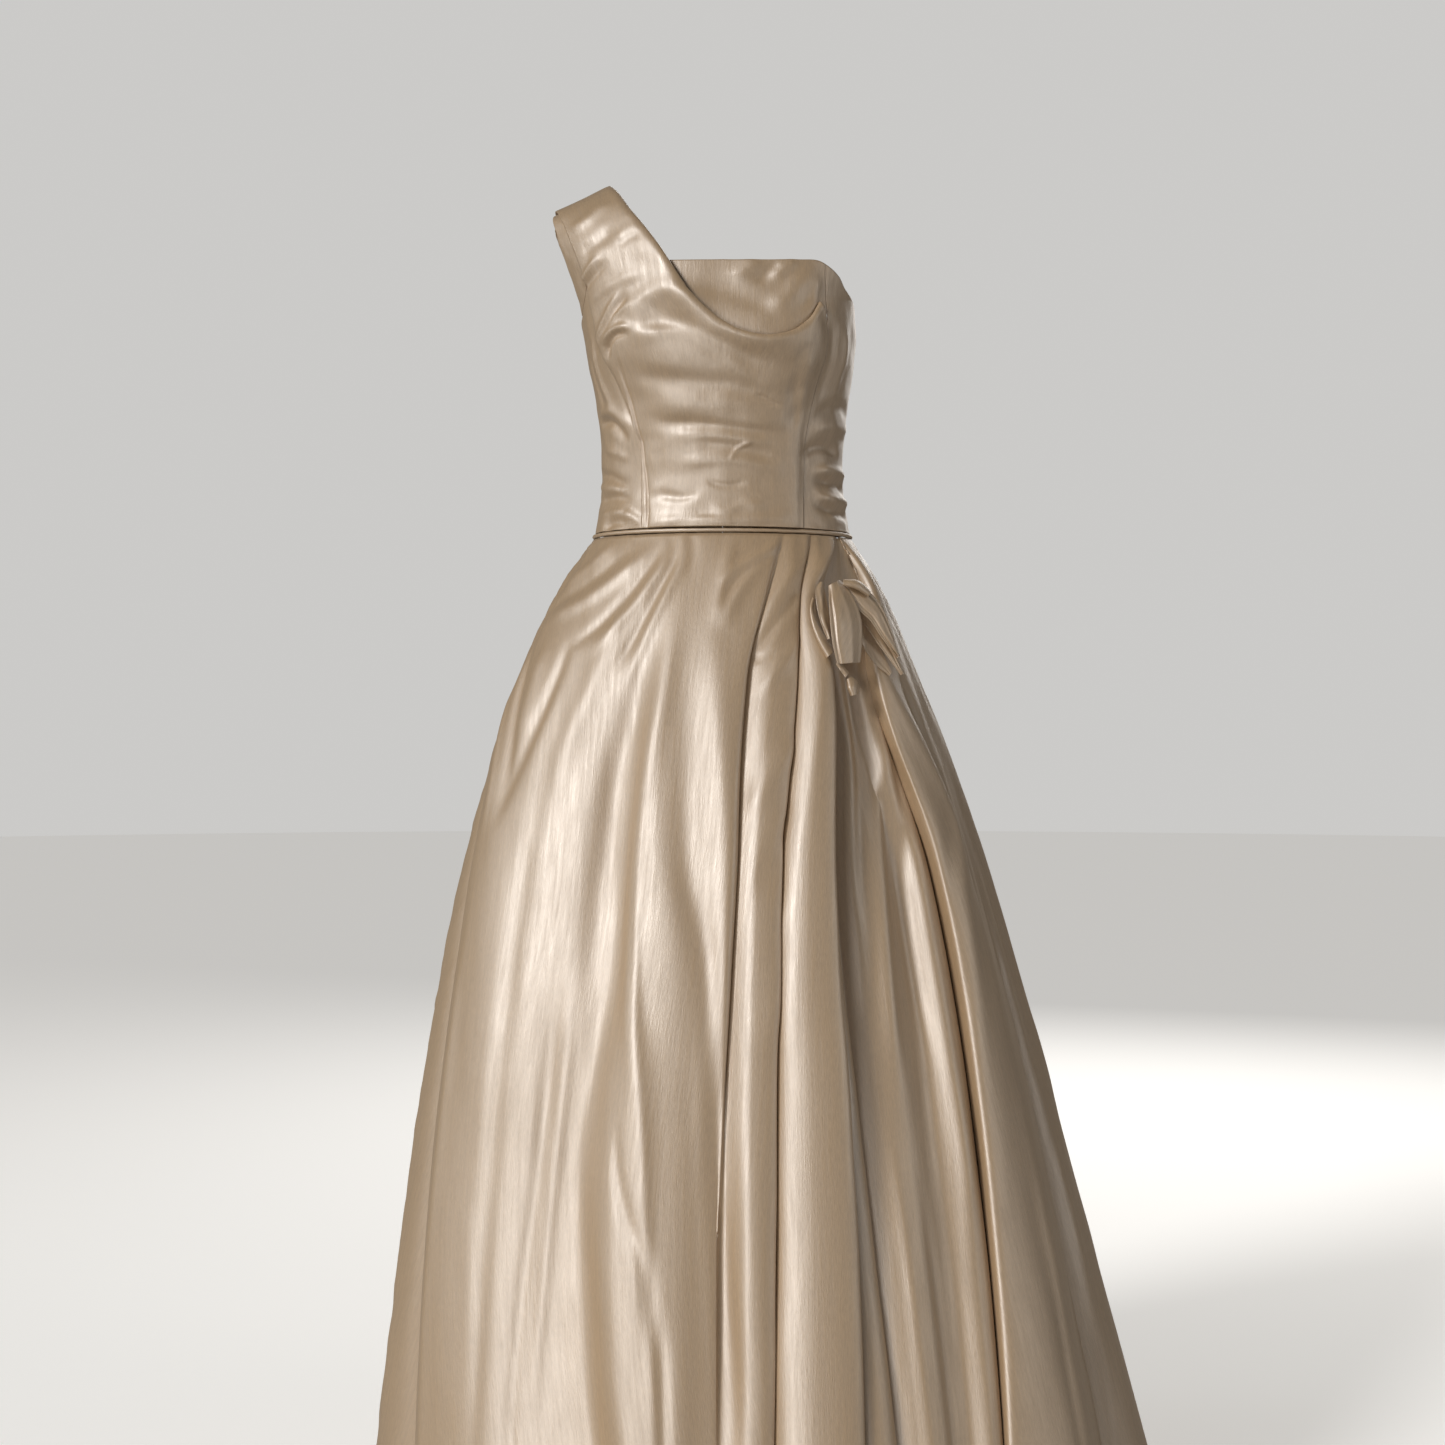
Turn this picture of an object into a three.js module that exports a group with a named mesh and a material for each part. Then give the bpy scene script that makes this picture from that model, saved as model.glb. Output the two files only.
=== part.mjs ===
// One-shoulder satin ball gown, worn form: a fitted bodice with a cowl drape that runs up
// into one wide shoulder strap, a corded waist seam, and a full floor-length skirt whose
// pleats open at the left hip over an inset panel, under a bow of folded leaves.
//
// Frame: millimetres, +Z up, the front of the gown faces -Y, +X is the wearer's left.
// The origin is the middle of the wearer's waist, level with the waist seam.
import * as THREE from "three";

// ---------- driving dimensions ----------
const CLOTH = 2; // thickness of the satin wall
const SEAM_GAP = 0.5; // space between two panels that meet
const LOOSE_GAP = 1.5; // space between the under strap and the panels it meets
const LAYER = 2; // space between a panel and a layer that lies on it
const HEM_DEPTH = 1090; // waist seam to hem
const SKIRT_TOP = 3.6; // depth of the skirt's cut edge below the waist plane
const INSET_TOP = 5; // depth of the inset's upper edge, at the point of the opening
const BODICE_FOOT = 3; // height of the bodice's lower edge
const NECKLINE = 274; // height of the neckline at the middle of the front
const UNDERARM = 224; // lowest point of the armhole
const BACK_TOP = 243; // height of the back's upper edge
const ARCH_FOOT = 245; // height where the chest starts to turn over the shoulder
const ARCH_RISE = 125; // shoulder top above the arch's foot
const SHOULDER_SLOPE = 0.41; // fall of the shoulder beyond the strap's inner edge
const STRAP_INNER = -119; // x of the strap's two edges at the shoulder seam
const STRAP_OUTER = -177;
const SATIN = 0xd2b894; // champagne

const TINY = 1e-3; // step for slopes, as a share of a surface

const rad = THREE.MathUtils.degToRad;
const clamp01 = (t) => Math.min(1, Math.max(0, t));
const mix = (a, b, t) => a + (b - a) * t;
const smooth = (a, b, x) => {
  const t = clamp01((x - a) / (b - a));
  return t * t * (3 - 2 * t);
};

// A smooth curve through values[i] at knots[i]: cubic spans with averaged slopes.
function through(knots, values, x) {
  const last = knots.length - 1;
  const at = Math.min(knots[last], Math.max(knots[0], x));
  let i = 0;
  while (i < last - 1 && at > knots[i + 1]) i++;
  const slope = (k) => {
    const a = Math.max(0, k - 1);
    const b = Math.min(last, k + 1);
    return (values[b] - values[a]) / (knots[b] - knots[a]);
  };
  const span = knots[i + 1] - knots[i];
  const t = (at - knots[i]) / span;
  const u = 1 - t;
  return (
    values[i] * u * u * (1 + 2 * t) +
    values[i + 1] * t * t * (3 - 2 * t) +
    span * t * u * (slope(i) * u - slope(i + 1) * t)
  );
}

// ---------- walls ----------

// Values from a to b in n steps.
const steps = (a, b, n) => Array.from({ length: n + 1 }, (_, i) => mix(a, b, i / n));

// The outward normal of a surface over the unit square, whose first parameter runs to the
// right and whose second runs down, as seen from outside.
function normalAt(surface, u, v) {
  const [u0, u1] = [clamp01(u - TINY), clamp01(u + TINY)];
  const [v0, v1] = [clamp01(v - TINY), clamp01(v + TINY)];
  const across = surface(u1, v).sub(surface(u0, v));
  const down = surface(u, v1).sub(surface(u, v0));
  return down.cross(across).normalize();
}

// A closed solid from two grids of points, one for each face, joined round their edges.
function closedWall(outer, inner) {
  const columns = outer.length;
  const rows = outer[0].length;
  const points = [outer, inner].flatMap((grid) => grid.flat());
  const index = [];
  const at = (layer, i, j) => layer * columns * rows + i * rows + j;
  const quad = (a, b, c, d) => index.push(a, b, c, a, c, d);
  for (let i = 0; i + 1 < columns; i++)
    for (let j = 0; j + 1 < rows; j++) {
      quad(at(0, i, j), at(0, i, j + 1), at(0, i + 1, j + 1), at(0, i + 1, j));
      quad(at(1, i, j), at(1, i + 1, j), at(1, i + 1, j + 1), at(1, i, j + 1));
    }
  for (let i = 0; i + 1 < columns; i++) {
    quad(at(0, i, 0), at(0, i + 1, 0), at(1, i + 1, 0), at(1, i, 0));
    quad(at(0, i + 1, rows - 1), at(0, i, rows - 1), at(1, i, rows - 1), at(1, i + 1, rows - 1));
  }
  for (let j = 0; j + 1 < rows; j++) {
    quad(at(0, 0, j + 1), at(0, 0, j), at(1, 0, j), at(1, 0, j + 1));
    quad(
      at(0, columns - 1, j),
      at(0, columns - 1, j + 1),
      at(1, columns - 1, j + 1),
      at(1, columns - 1, j),
    );
  }
  const geometry = new THREE.BufferGeometry().setFromPoints(points).setIndex(index);
  geometry.computeVertexNormals();
  return geometry;
}

// A wall of cloth: the surface is its outside, and the inside lies a cloth's width behind.
function wall(surface, us, vs) {
  const outer = us.map((u) => vs.map((v) => surface(u, v)));
  const behind = (u, v, p) => p.clone().addScaledVector(normalAt(surface, u, v), -CLOTH);
  const inner = us.map((u, i) => vs.map((v, j) => behind(u, v, outer[i][j])));
  return closedWall(outer, inner);
}

const gown = new THREE.Group();

function add(name, geometry) {
  const material = new THREE.MeshStandardMaterial({
    color: SATIN,
    roughness: 0.45,
    metalness: 0.2,
  });
  const mesh = new THREE.Mesh(geometry, material);
  mesh.name = name;
  gown.add(mesh);
}

// ---------- the skirt's form ----------
// Angles are in degrees from the middle of the front, growing towards the wearer's left.

const flare = (waist, slope, spring, reach) => (d) =>
  waist + slope * d + spring * (1 - Math.exp(-Math.max(0, d) / reach));
const halfLeft = flare(137, 0.268, 49, 150); // towards +X
const halfRight = flare(137, 0.12, 114, 210); // towards -X
const depthFront = flare(98, 0.225, 52, 150);
const depthBack = flare(92, 0.28, 70, 170);

const DEPTHS = [0, 60, 150, 350, 700, 1090];

// Each valley between two folds: its angle and how far it sinks, at DEPTHS; how sharp it
// is; and how far the folds on its left and right lean over it, as a share of their height.
const VALLEYS = [
  {
    name: "side_right",
    at: [-78, -76, -73, -64, -58.5, -51],
    sink: [0, 0, 0, 3, 9, 14],
    sharp: [0.8, 0.8], left: 0.1, right: 0.55,
  },
  {
    name: "front_soft",
    at: [-33, -29, -25, -23, -26, -13],
    sink: [0, 0, 2, 6, 10, 12],
    sharp: [0, 0], left: 0, right: 0,
  },
  {
    name: "pleat_1",
    at: [28, 17, 7, 2, 0, -1],
    sink: [0, 3, 6, 6, 5, 6],
    sharp: [1, 0], left: 0.4, right: 0,
  },
  {
    name: "pleat_2",
    at: [42.5, 29, 21.5, 11.5, 7, 5],
    sink: [0, 3, 6, 10, 15, 18],
    sharp: [1, 1], left: 0.5, right: 0.2,
  },
  {
    name: "pleat_3",
    at: [61, 34, 28.5, 20.5, 18, 14.5],
    sink: [0, 8, 13, 15, 17, 20],
    sharp: [1, 1], left: 0.45, right: 0.1,
  },
  {
    name: "inset_a",
    at: [61.5, 41, 34, 26, 24, 24],
    sink: [0, 12, 22, 26, 22, 20],
    sharp: [0.8, 0.8], left: 0.3, right: 0.1,
  },
  {
    name: "inset_b",
    at: [61.8, 53, 42, 43, 38, 32],
    sink: [0, 12, 22, 24, 20, 16],
    sharp: [0, 0], left: 0, right: 0,
  },
  {
    name: "hip_left",
    at: [62, 65.5, 50, 54.5, 47, 36],
    sink: [0, 5, 12, 17, 20, 22],
    sharp: [1, 1], left: 0.1, right: 0.5,
  },
  {
    name: "side_soft",
    at: [76, 76, 75, 74, 69, 62],
    sink: [0, 0, 2, 5, 10, 14],
    sharp: [0.4, 0.4], left: 0.1, right: 0.2,
  },
  {
    name: "side_left",
    at: [98, 98, 97, 96, 93, 88],
    sink: [0, 0, 2, 5, 9, 12],
    sharp: [0.5, 0.5], left: 0.2, right: 0.2,
  },
  {
    name: "back_a",
    at: [122, 121, 120, 118, 116, 114],
    sink: [0, 2, 4, 7, 10, 12],
    sharp: [0.4, 0.4], left: 0.2, right: 0.2,
  },
  {
    name: "back_b",
    at: [144, 143, 142, 141, 140, 138],
    sink: [0, 2, 4, 8, 12, 15],
    sharp: [0.6, 0.6], left: 0.3, right: 0.1,
  },
  {
    name: "back_c",
    at: [163, 162.5, 162, 161, 160, 160],
    sink: [0, 2, 4, 7, 10, 12],
    sharp: [0.4, 0.4], left: 0.2, right: 0.2,
  },
  {
    name: "back_seam",
    at: [180, 180, 180, 180, 181, 182],
    sink: [0, 2, 5, 9, 13, 16],
    sharp: [0.7, 0.7], left: 0.2, right: 0.2,
  },
  {
    name: "back_d",
    at: [198, 198, 199, 200, 202, 204],
    sink: [0, 2, 4, 7, 11, 13],
    sharp: [0.4, 0.4], left: 0.2, right: 0.2,
  },
  {
    name: "back_e",
    at: [218, 218, 219, 220, 223, 226],
    sink: [0, 2, 4, 8, 12, 15],
    sharp: [0.6, 0.6], left: 0.1, right: 0.3,
  },
  {
    name: "back_f",
    at: [240, 240, 241, 243, 247, 251],
    sink: [0, 1, 3, 6, 9, 11],
    sharp: [0.4, 0.4], left: 0.2, right: 0.2,
  },
  {
    name: "back_g",
    at: [262, 262, 263, 265, 270, 277],
    sink: [0, 0, 2, 5, 8, 11],
    sharp: [0.5, 0.5], left: 0.2, right: 0.3,
  },
];

// Each fold from one valley to the next: its height at DEPTHS and where its crest stands.
const FOLDS = [
  { high: [0, 2, 7, 16, 24, 30], crest: 0.42 }, // side_right
  { high: [0, 2, 6, 15, 22, 24], crest: 0.36 }, // front_soft
  { high: [1, 5, 9, 15, 13, 8], crest: 0.5 }, // pleat_1
  { high: [1, 6, 12, 20, 27, 30], crest: 0.5 }, // pleat_2
  { high: [0, 1, 3, 9, 16, 22], crest: 0.5 }, // pleat_3
  { high: [0, 1, 4, 9, 11, 12], crest: 0.5 }, // inset_a
  { high: [0, 1, 4, 10, 12, 14], crest: 0.5 }, // inset_b
  { high: [0, 4, 10, 19, 26, 32], crest: 0.42 }, // hip_left
  { high: [0, 2, 6, 12, 19, 26], crest: 0.5 }, // side_soft
  { high: [0, 3, 7, 13, 20, 26], crest: 0.5 }, // side_left
  { high: [0, 4, 8, 14, 22, 28], crest: 0.5 }, // back_a
  { high: [0, 4, 9, 15, 22, 28], crest: 0.5 }, // back_b
  { high: [0, 4, 8, 13, 19, 24], crest: 0.5 }, // back_c
  { high: [0, 4, 8, 13, 19, 24], crest: 0.5 }, // back_seam
  { high: [0, 4, 9, 15, 22, 28], crest: 0.5 }, // back_d
  { high: [0, 4, 8, 14, 22, 28], crest: 0.5 }, // back_e
  { high: [0, 3, 7, 13, 20, 26], crest: 0.5 }, // back_f
  { high: [0, 2, 6, 11, 18, 24], crest: 0.5 }, // back_g
];
const TURN = VALLEYS.length;

// Valley k at depth d, counted on past a full turn.
function valley(k, d) {
  const turns = Math.floor(k / TURN);
  const v = VALLEYS[k - turns * TURN];
  return {
    angle: through(DEPTHS, v.at, d) + 360 * turns,
    sink: through(DEPTHS, v.sink, d),
    sharp: mix(v.sharp[0], v.sharp[1], clamp01(d / HEM_DEPTH)),
    left: v.left,
    right: v.right,
  };
}

// The smooth form under the folds.
function ring(angle, d) {
  const s = Math.sin(rad(angle));
  const c = Math.cos(rad(angle));
  const x = s * (s > 0 ? halfLeft(d) : halfRight(d));
  const y = -c * (c > 0 ? depthFront(d) : depthBack(d));
  return new THREE.Vector3(x, y, -d);
}

// A point of the skirt: f counts folds, so that 2.5 is the middle of the third fold.
function skirt(f, d) {
  const k = Math.floor(Math.min(f, 2 * TURN - 1e-9));
  const t = f - k;
  const [a, b] = [valley(k, d), valley(k + 1, d)];
  const fold = FOLDS[(k + TURN) % TURN];
  const high = through(DEPTHS, fold.high, d);
  const rising = t < fold.crest;
  const past = (t - fold.crest) / (1 - fold.crest);
  const phase = rising ? (0.5 * t) / fold.crest : 0.5 + 0.5 * past;
  const sharp = rising ? a.sharp : b.sharp;
  const round = 1 - (2 * phase - 1) ** 2;
  const soft = (1 - Math.cos(2 * Math.PI * phase)) / 2;
  const arch = mix(soft, round, sharp);
  const lean = (rising ? a.right : b.left) * high * Math.sin(2 * Math.PI * phase);
  const angle = mix(a.angle, b.angle, t);
  const base = ring(angle, d);
  const across = ring(angle + 0.5, d).sub(ring(angle - 0.5, d)).setZ(0).normalize();
  const out = new THREE.Vector3(across.y, -across.x, 0);
  const lift = high * arch - mix(a.sink, b.sink, t);
  return base.addScaledVector(out, lift).addScaledVector(across, -lean);
}

// Rows of the skirt, closer together over the hip.
const SKIRT_ROWS = [SKIRT_TOP, 25, 60, 100, 150, 215, 300, 410, 540, 700, 880, HEM_DEPTH];

// Places across one fold, closer together at a sharp valley.
const SHARP_PLACES = [0, 0.08, 0.25, 0.5, 0.75, 0.92];
const SOFT_PLACES = [0, 0.25, 0.5, 0.75];

const FOLD_STEP = 0.02; // share of a fold over which its width is measured

// A panel of the skirt from valley `from` to valley `to`, kept clear of its neighbours.
function skirtPanel(name, from, to, top = SKIRT_TOP) {
  const places = [];
  for (let k = from; k <= to; k++) {
    const keen = VALLEYS[k % TURN].sharp[0] + VALLEYS[(k + 1) % TURN].sharp[0] > 1;
    (keen ? SHARP_PLACES : SOFT_PLACES).forEach((t) => places.push(k + t));
  }
  const inner = places.filter((f) => f > from + FOLD_STEP && f < to - FOLD_STEP);
  const us = [from, ...inner, to];
  const rows = [top, ...SKIRT_ROWS.filter((d) => d > top + 5)];
  const surface = (f, d) => {
    const step = skirt(f + FOLD_STEP, d).distanceTo(skirt(f - FOLD_STEP, d));
    const width = step / (2 * FOLD_STEP);
    const inset = SEAM_GAP / 2 / Math.max(width, 1);
    return skirt(Math.min(to - inset, Math.max(from + inset, f)), d);
  };
  add(name, panelWall(surface, us, rows));
}

const NORMAL_REACH = 0.03; // share of a fold to each side over which a normal is taken

// A wall whose normals are taken level, so that its two cut edges stay upright.
function panelWall(surface, us, rows) {
  const first = us[0];
  const last = us[us.length - 1];
  const outer = us.map((u) => rows.map((d) => surface(u, d)));
  const inner = us.map((u, i) =>
    rows.map((d, j) => {
      const from = Math.max(first, u - NORMAL_REACH);
      const to = Math.min(last, u + NORMAL_REACH);
      const across = surface(to, d).sub(surface(from, d)).setZ(0).normalize();
      const inward = new THREE.Vector3(-across.y, across.x, 0);
      return outer[i][j].clone().addScaledVector(inward, CLOTH);
    }),
  );
  return closedWall(outer, inner);
}

skirtPanel("skirt_front", 0, 3);
skirtPanel("skirt_front_pleat", 3, 4);
skirtPanel("skirt_inset", 4, 7, INSET_TOP);
skirtPanel("skirt_side_left", 7, 10);
skirtPanel("skirt_back_left", 10, 13);
skirtPanel("skirt_back_right", 13, TURN);

// ---------- the bodice's form ----------
// `up` is the height up to ARCH_FOOT, then the way along an arch over the shoulder, and
// past the arch the way down the back.

const BODY_HEIGHTS = [0, 40, 85, 130, 180, 210, 245];
const HALF_LEFT = [138, 131, 130, 134, 141, 143, 143]; // half-width towards +X at those heights
const HALF_RIGHT = [138, 131, 130, 134, 143, 148, 156]; // towards -X, where the strap rises
const bodyHalf = (z, side) => through(BODY_HEIGHTS, side < 0 ? HALF_RIGHT : HALF_LEFT, z);
const bodyFront = (z) => through(BODY_HEIGHTS, [99, 97, 101, 110, 120, 122, 119], z);
const bodyBack = (z) => through(BODY_HEIGHTS, [93, 88, 89, 93, 98, 100, 102], z);
const ARCH_LENGTH = ARCH_RISE * Math.PI;
const SHOULDER = ARCH_FOOT + ARCH_LENGTH / 2; // the top of the arch
const ARCH_SPREAD = 49; // how much wider the form is at the top of the arch than at its foot
const archHalf = (turn, side) => bodyHalf(ARCH_FOOT, side) + ARCH_SPREAD * Math.sin(turn);
const shoulderFall = (x, turn) => (Math.abs(x) + STRAP_INNER) * SHOULDER_SLOPE * Math.sin(turn) ** 2;

// The cups: a soft fullness over each side of the front.
const BUST = { angle: 42, height: 192, wide: 24, tall: 42, full: 8 };
function bust(p) {
  const angle = THREE.MathUtils.radToDeg(Math.atan2(p.x, -p.y));
  const across = (Math.abs(angle) - BUST.angle) / BUST.wide;
  const up = (p.z - BUST.height) / BUST.tall;
  const full = BUST.full * Math.exp(-(across ** 2) - up ** 2);
  const out = new THREE.Vector3(p.x, p.y, 0).normalize();
  return p.y < 0 ? p.addScaledVector(out, full) : p;
}

// How square the section is: 1 is an ellipse, and less is boxier, as across the chest.
const squareness = (up) => through([0, 120, 190, ARCH_FOOT], [1, 1, 0.9, 0.8], up);
const bent = (value, power) => Math.sign(value) * Math.abs(value) ** power;

// A point of the form, moved out by `out`: angles are taken from the middle of the front.
function form(angle, up, out = 0) {
  const power = squareness(up);
  const [s, c] = [bent(Math.sin(rad(angle)), power), bent(Math.cos(rad(angle)), power)];
  const turn = Math.min(Math.PI, Math.max(0, up - ARCH_FOOT) / ARCH_RISE);
  if (turn === 0) {
    const deep = c > 0 ? bodyFront(up) : bodyBack(up);
    return bust(new THREE.Vector3(s * (bodyHalf(up, s) + out), -c * (deep + out), up));
  }
  const x = s * (archHalf(turn, s) + out);
  const deep = (turn < Math.PI / 2 ? bodyFront(ARCH_FOOT) : bodyBack(ARCH_FOOT)) + out;
  const rise = (ARCH_RISE + out) * Math.sin(turn) - shoulderFall(x, turn);
  const down = Math.max(0, up - ARCH_FOOT - ARCH_LENGTH);
  return bust(new THREE.Vector3(x, -c * deep * Math.cos(turn), ARCH_FOOT + rise - down));
}

// The way up the form to a height, on the front or the back of the shoulder.
const upAt = (z) => (z > ARCH_FOOT ? ARCH_FOOT + ARCH_RISE * Math.asin((z - ARCH_FOOT) / ARCH_RISE) : z);

// The angle at which the form stands at x, at a way up the front.
function angleAt(x, up) {
  const half = up > ARCH_FOOT ? archHalf((up - ARCH_FOOT) / ARCH_RISE, x) : bodyHalf(up, x);
  return THREE.MathUtils.radToDeg(Math.asin(bent(x / half, 1 / squareness(up))));
}

// The princess seams: angle from the middle of the front by height.
const PRINCESS_X = [84, 87, 103.5, 107];
const princess = (z) => angleAt(through([0, 100, 190, 280], PRINCESS_X, z), upAt(z));

// Height of the upper edge by angle, from the right underarm round the front to the back.
const EDGE_ANGLES = [
  -90, -78, -66, -56, -46, -34, 0, 26, 34, 40.5, 50, 59, 74, 90, 115, 180, 244, 256, 270,
];
const EDGE_HEIGHTS = [
  UNDERARM, UNDERARM + 5, 244, 264, 278, 277, NECKLINE, 277, 278, 274, 265, 253, 245,
  240, BACK_TOP, BACK_TOP, BACK_TOP, 236, UNDERARM,
];
const edgeHeight = (angle) => through(EDGE_ANGLES, EDGE_HEIGHTS, angle);

const gapAngle = (z) => THREE.MathUtils.radToDeg(SEAM_GAP / 2 / bodyHalf(z, 1));

// A bodice panel between two seams, each given as angle by height.
function bodicePanel(name, leftAt, rightAt, columns, rows) {
  const surface = (u, v) => {
    let z = BODICE_FOOT;
    let angle = 0;
    for (let n = 0; n < 4; n++) {
      angle = mix(leftAt(z) + gapAngle(z), rightAt(z) - gapAngle(z), u);
      z = mix(edgeHeight(angle), BODICE_FOOT, v);
    }
    return form(angle, upAt(z));
  };
  add(name, wall(surface, steps(0, 1, columns), steps(0, 1, rows)));
}

bodicePanel("bodice_front", (z) => -princess(z), princess, 14, 10);
bodicePanel("bodice_side_left", princess, () => 90, 7, 10);
bodicePanel("bodice_side_right", () => -90, (z) => -princess(z), 7, 10);
bodicePanel("bodice_back_left", () => 90, () => 180, 9, 8);
bodicePanel("bodice_back_right", () => 180, () => 270, 9, 8);

// ---------- the drape and strap ----------

// A smooth curve on the form through points given as x and `up`, kept as angle and `up`.
function curveOn(points) {
  return new THREE.CatmullRomCurve3(points.map(([x, up]) => new THREE.Vector3(angleAt(x, up), up, 0)));
}

const DRAPE_TOP = SHOULDER - 0.4;
// The edge towards the armhole: up the princess seam, then free to the shoulder tip.
const outerEdge = curveOn([
  [-83.8, BODICE_FOOT], [-84.2, 45], [-86.2, 92], [-98, 132], [-112, 168],
  [-125, 205], [-135, 240], [-145, 274], [-158, 315], [-168, 358], [-174, 400], [STRAP_OUTER, DRAPE_TOP],
]);
// The edge at the left princess seam, up to where the cowl ends.
const seamEdge = curveOn([
  [83.8, BODICE_FOOT], [84.2, 45], [86, 90], [92.4, 135], [101.4, 180], [103.6, 214], [97, 236],
]);
// The cowl's curve, then the strap's inner edge up to the shoulder seam.
const cowlEdge = curveOn([
  [97, 236], [82, 215], [63, 201], [40, 196], [14, 202], [-12, 221], [-37, 250],
  [-60, 284], [-78, 310], [-93, 335], [-106, 370], [-114, 405], [STRAP_INNER, DRAPE_TOP],
]);

// The drape is spanned between four edges that meet at its corners: the waist below, the
// outer edge, the seam edge, and above them the shoulder seam with the strap and the cowl.
const SHOULDER_SHARE = 0.12; // share of the upper edge that lies at the shoulder seam
function upperEdge(u) {
  const past = (u - SHOULDER_SHARE) / (1 - SHOULDER_SHARE);
  const tip = outerEdge.getPoint(1);
  return past > 0 ? cowlEdge.getPoint(1 - past) : tip.lerp(cowlEdge.getPoint(1), u / SHOULDER_SHARE);
}

// The cowl stands out most a little past its lowest point, and less further from its edge.
const COWL = { at: 0.69, wide: 0.15, out: 12, reach: 0.12 };
function drape(u, v) {
  const r = 1 - v;
  const foot = outerEdge.getPoint(0).lerp(seamEdge.getPoint(0), u);
  const sides = outerEdge.getPoint(r).lerp(seamEdge.getPoint(r), u);
  const corners = foot.clone().lerp(outerEdge.getPoint(1).lerp(seamEdge.getPoint(1), u), r);
  const p = foot.clone().lerp(upperEdge(u), r).add(sides).sub(corners);
  const near = Math.exp(-(((u - COWL.at) / COWL.wide) ** 2) - (v / COWL.reach) ** 2);
  return form(p.x, p.y, CLOTH + LAYER + COWL.out * near);
}
const DRAPE_COLUMNS = [0, SHOULDER_SHARE / 2, ...steps(SHOULDER_SHARE, 1, 13)];
const DRAPE_ROWS = steps(0, 1, 19).map((v) => v ** 1.2);
add("bodice_drape", wall(drape, DRAPE_COLUMNS, DRAPE_ROWS));

// The back of the strap, from the shoulder seam to below the back's upper edge.
const STRAP_LAP = 18; // how far the strap lies on the back
function strapBack(u, v) {
  const up = mix(SHOULDER + 0.4, ARCH_FOOT + ARCH_LENGTH + STRAP_LAP, 1 - v);
  const ease = smooth(0, 1, 1 - v);
  return form(mix(mix(-56, -69, ease), mix(-30, -36, ease), u), up, CLOTH + LAYER);
}
add("strap_back", wall(strapBack, steps(0, 1, 5), steps(0, 1, 11)));

// The under strap: it shows as a narrow band beyond the drape's edge at the armhole.
const UNDER_UPS = [0, 0.12, 0.3, 0.5, 0.75, 1];
function strapUnder(u, v) {
  const r = 1 - v;
  const outerAngle = through(UNDER_UPS, [-76, -72, -65, -58.5, -67, -72], r);
  const innerAngle = through(UNDER_UPS, [-48, -44, -37, -32, -35, -38], r);
  const angle = mix(outerAngle, innerAngle, u);
  const start = upAt(edgeHeight(mix(-76, -48, u)) + LOOSE_GAP);
  const end = ARCH_FOOT + ARCH_LENGTH + ARCH_FOOT - edgeHeight(180 - angle) - LOOSE_GAP;
  return form(angle, mix(start, end, r));
}
add("strap_under", wall(strapUnder, steps(0, 1, 5), steps(0, 1, 16)));

// ---------- the waist ----------

// A closed cord that lies round the waist, with a round section.
const PIPING = { radius: 2.2, drop: 0.4, out: 1.1, turns: 60, sides: 6 };
function pipingRing() {
  const points = [];
  for (let i = 0; i < PIPING.turns; i++) {
    const angle = (360 * i) / PIPING.turns;
    const across = ring(angle + 0.5, 0).sub(ring(angle - 0.5, 0)).normalize();
    const out = new THREE.Vector3(across.y, -across.x, 0);
    const middle = ring(angle, 0).addScaledVector(out, PIPING.out).setZ(-PIPING.drop);
    for (let j = 0; j < PIPING.sides; j++) {
      const turn = (2 * Math.PI * j) / PIPING.sides;
      const p = middle.clone().addScaledVector(out, PIPING.radius * Math.cos(turn));
      points.push(p.setZ(p.z + PIPING.radius * Math.sin(turn)));
    }
  }
  const index = [];
  const at = (i, j) => (i % PIPING.turns) * PIPING.sides + (j % PIPING.sides);
  for (let i = 0; i < PIPING.turns; i++)
    for (let j = 0; j < PIPING.sides; j++) {
      index.push(at(i, j), at(i + 1, j), at(i + 1, j + 1));
      index.push(at(i, j), at(i + 1, j + 1), at(i, j + 1));
    }
  return new THREE.BufferGeometry().setFromPoints(points).setIndex(index);
}
add("waist_piping", pipingRing());

// ---------- the bow at the hip ----------
// Points of the bow are given on its own plane, which slopes with the hip: x to its right,
// y up, and how far out towards the front.

const BOW = { facing: 35, tilt: 0.35, centre: new THREE.Vector3(126, -111, -84) };
const BOW_RIGHT = new THREE.Vector3(Math.cos(rad(BOW.facing)), Math.sin(rad(BOW.facing)), 0);
const onBow = (x, y, out) => {
  const p = BOW.centre.clone().addScaledVector(BOW_RIGHT, x);
  return p.add(new THREE.Vector3(0, BOW.tilt * y - out, y));
};

// A leaf of folded satin: each station is [x, y, out, half-width], from the knot to the
// tip, and the cup is how far the leaf's middle stands out from its two edges.
function leaf(name, stations, cup, columns, rows) {
  const knots = steps(0, 1, stations.length - 1);
  const column = (k) => stations.map((station) => station[k]);
  const at = (k, v) => through(knots, column(k), v);
  const surface = (u, v) => {
    const [v0, v1] = [clamp01(v - TINY), clamp01(v + TINY)];
    const along = new THREE.Vector2(at(0, v1) - at(0, v0), at(1, v1) - at(1, v0)).normalize();
    const side = (2 * u - 1) * at(3, v);
    const out = at(2, v) + cup * (1 - (2 * u - 1) ** 2);
    return onBow(at(0, v) - along.y * side, at(1, v) + along.x * side, out);
  };
  add(name, wall(surface, steps(0, 1, columns), steps(0, 1, rows)));
}

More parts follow.
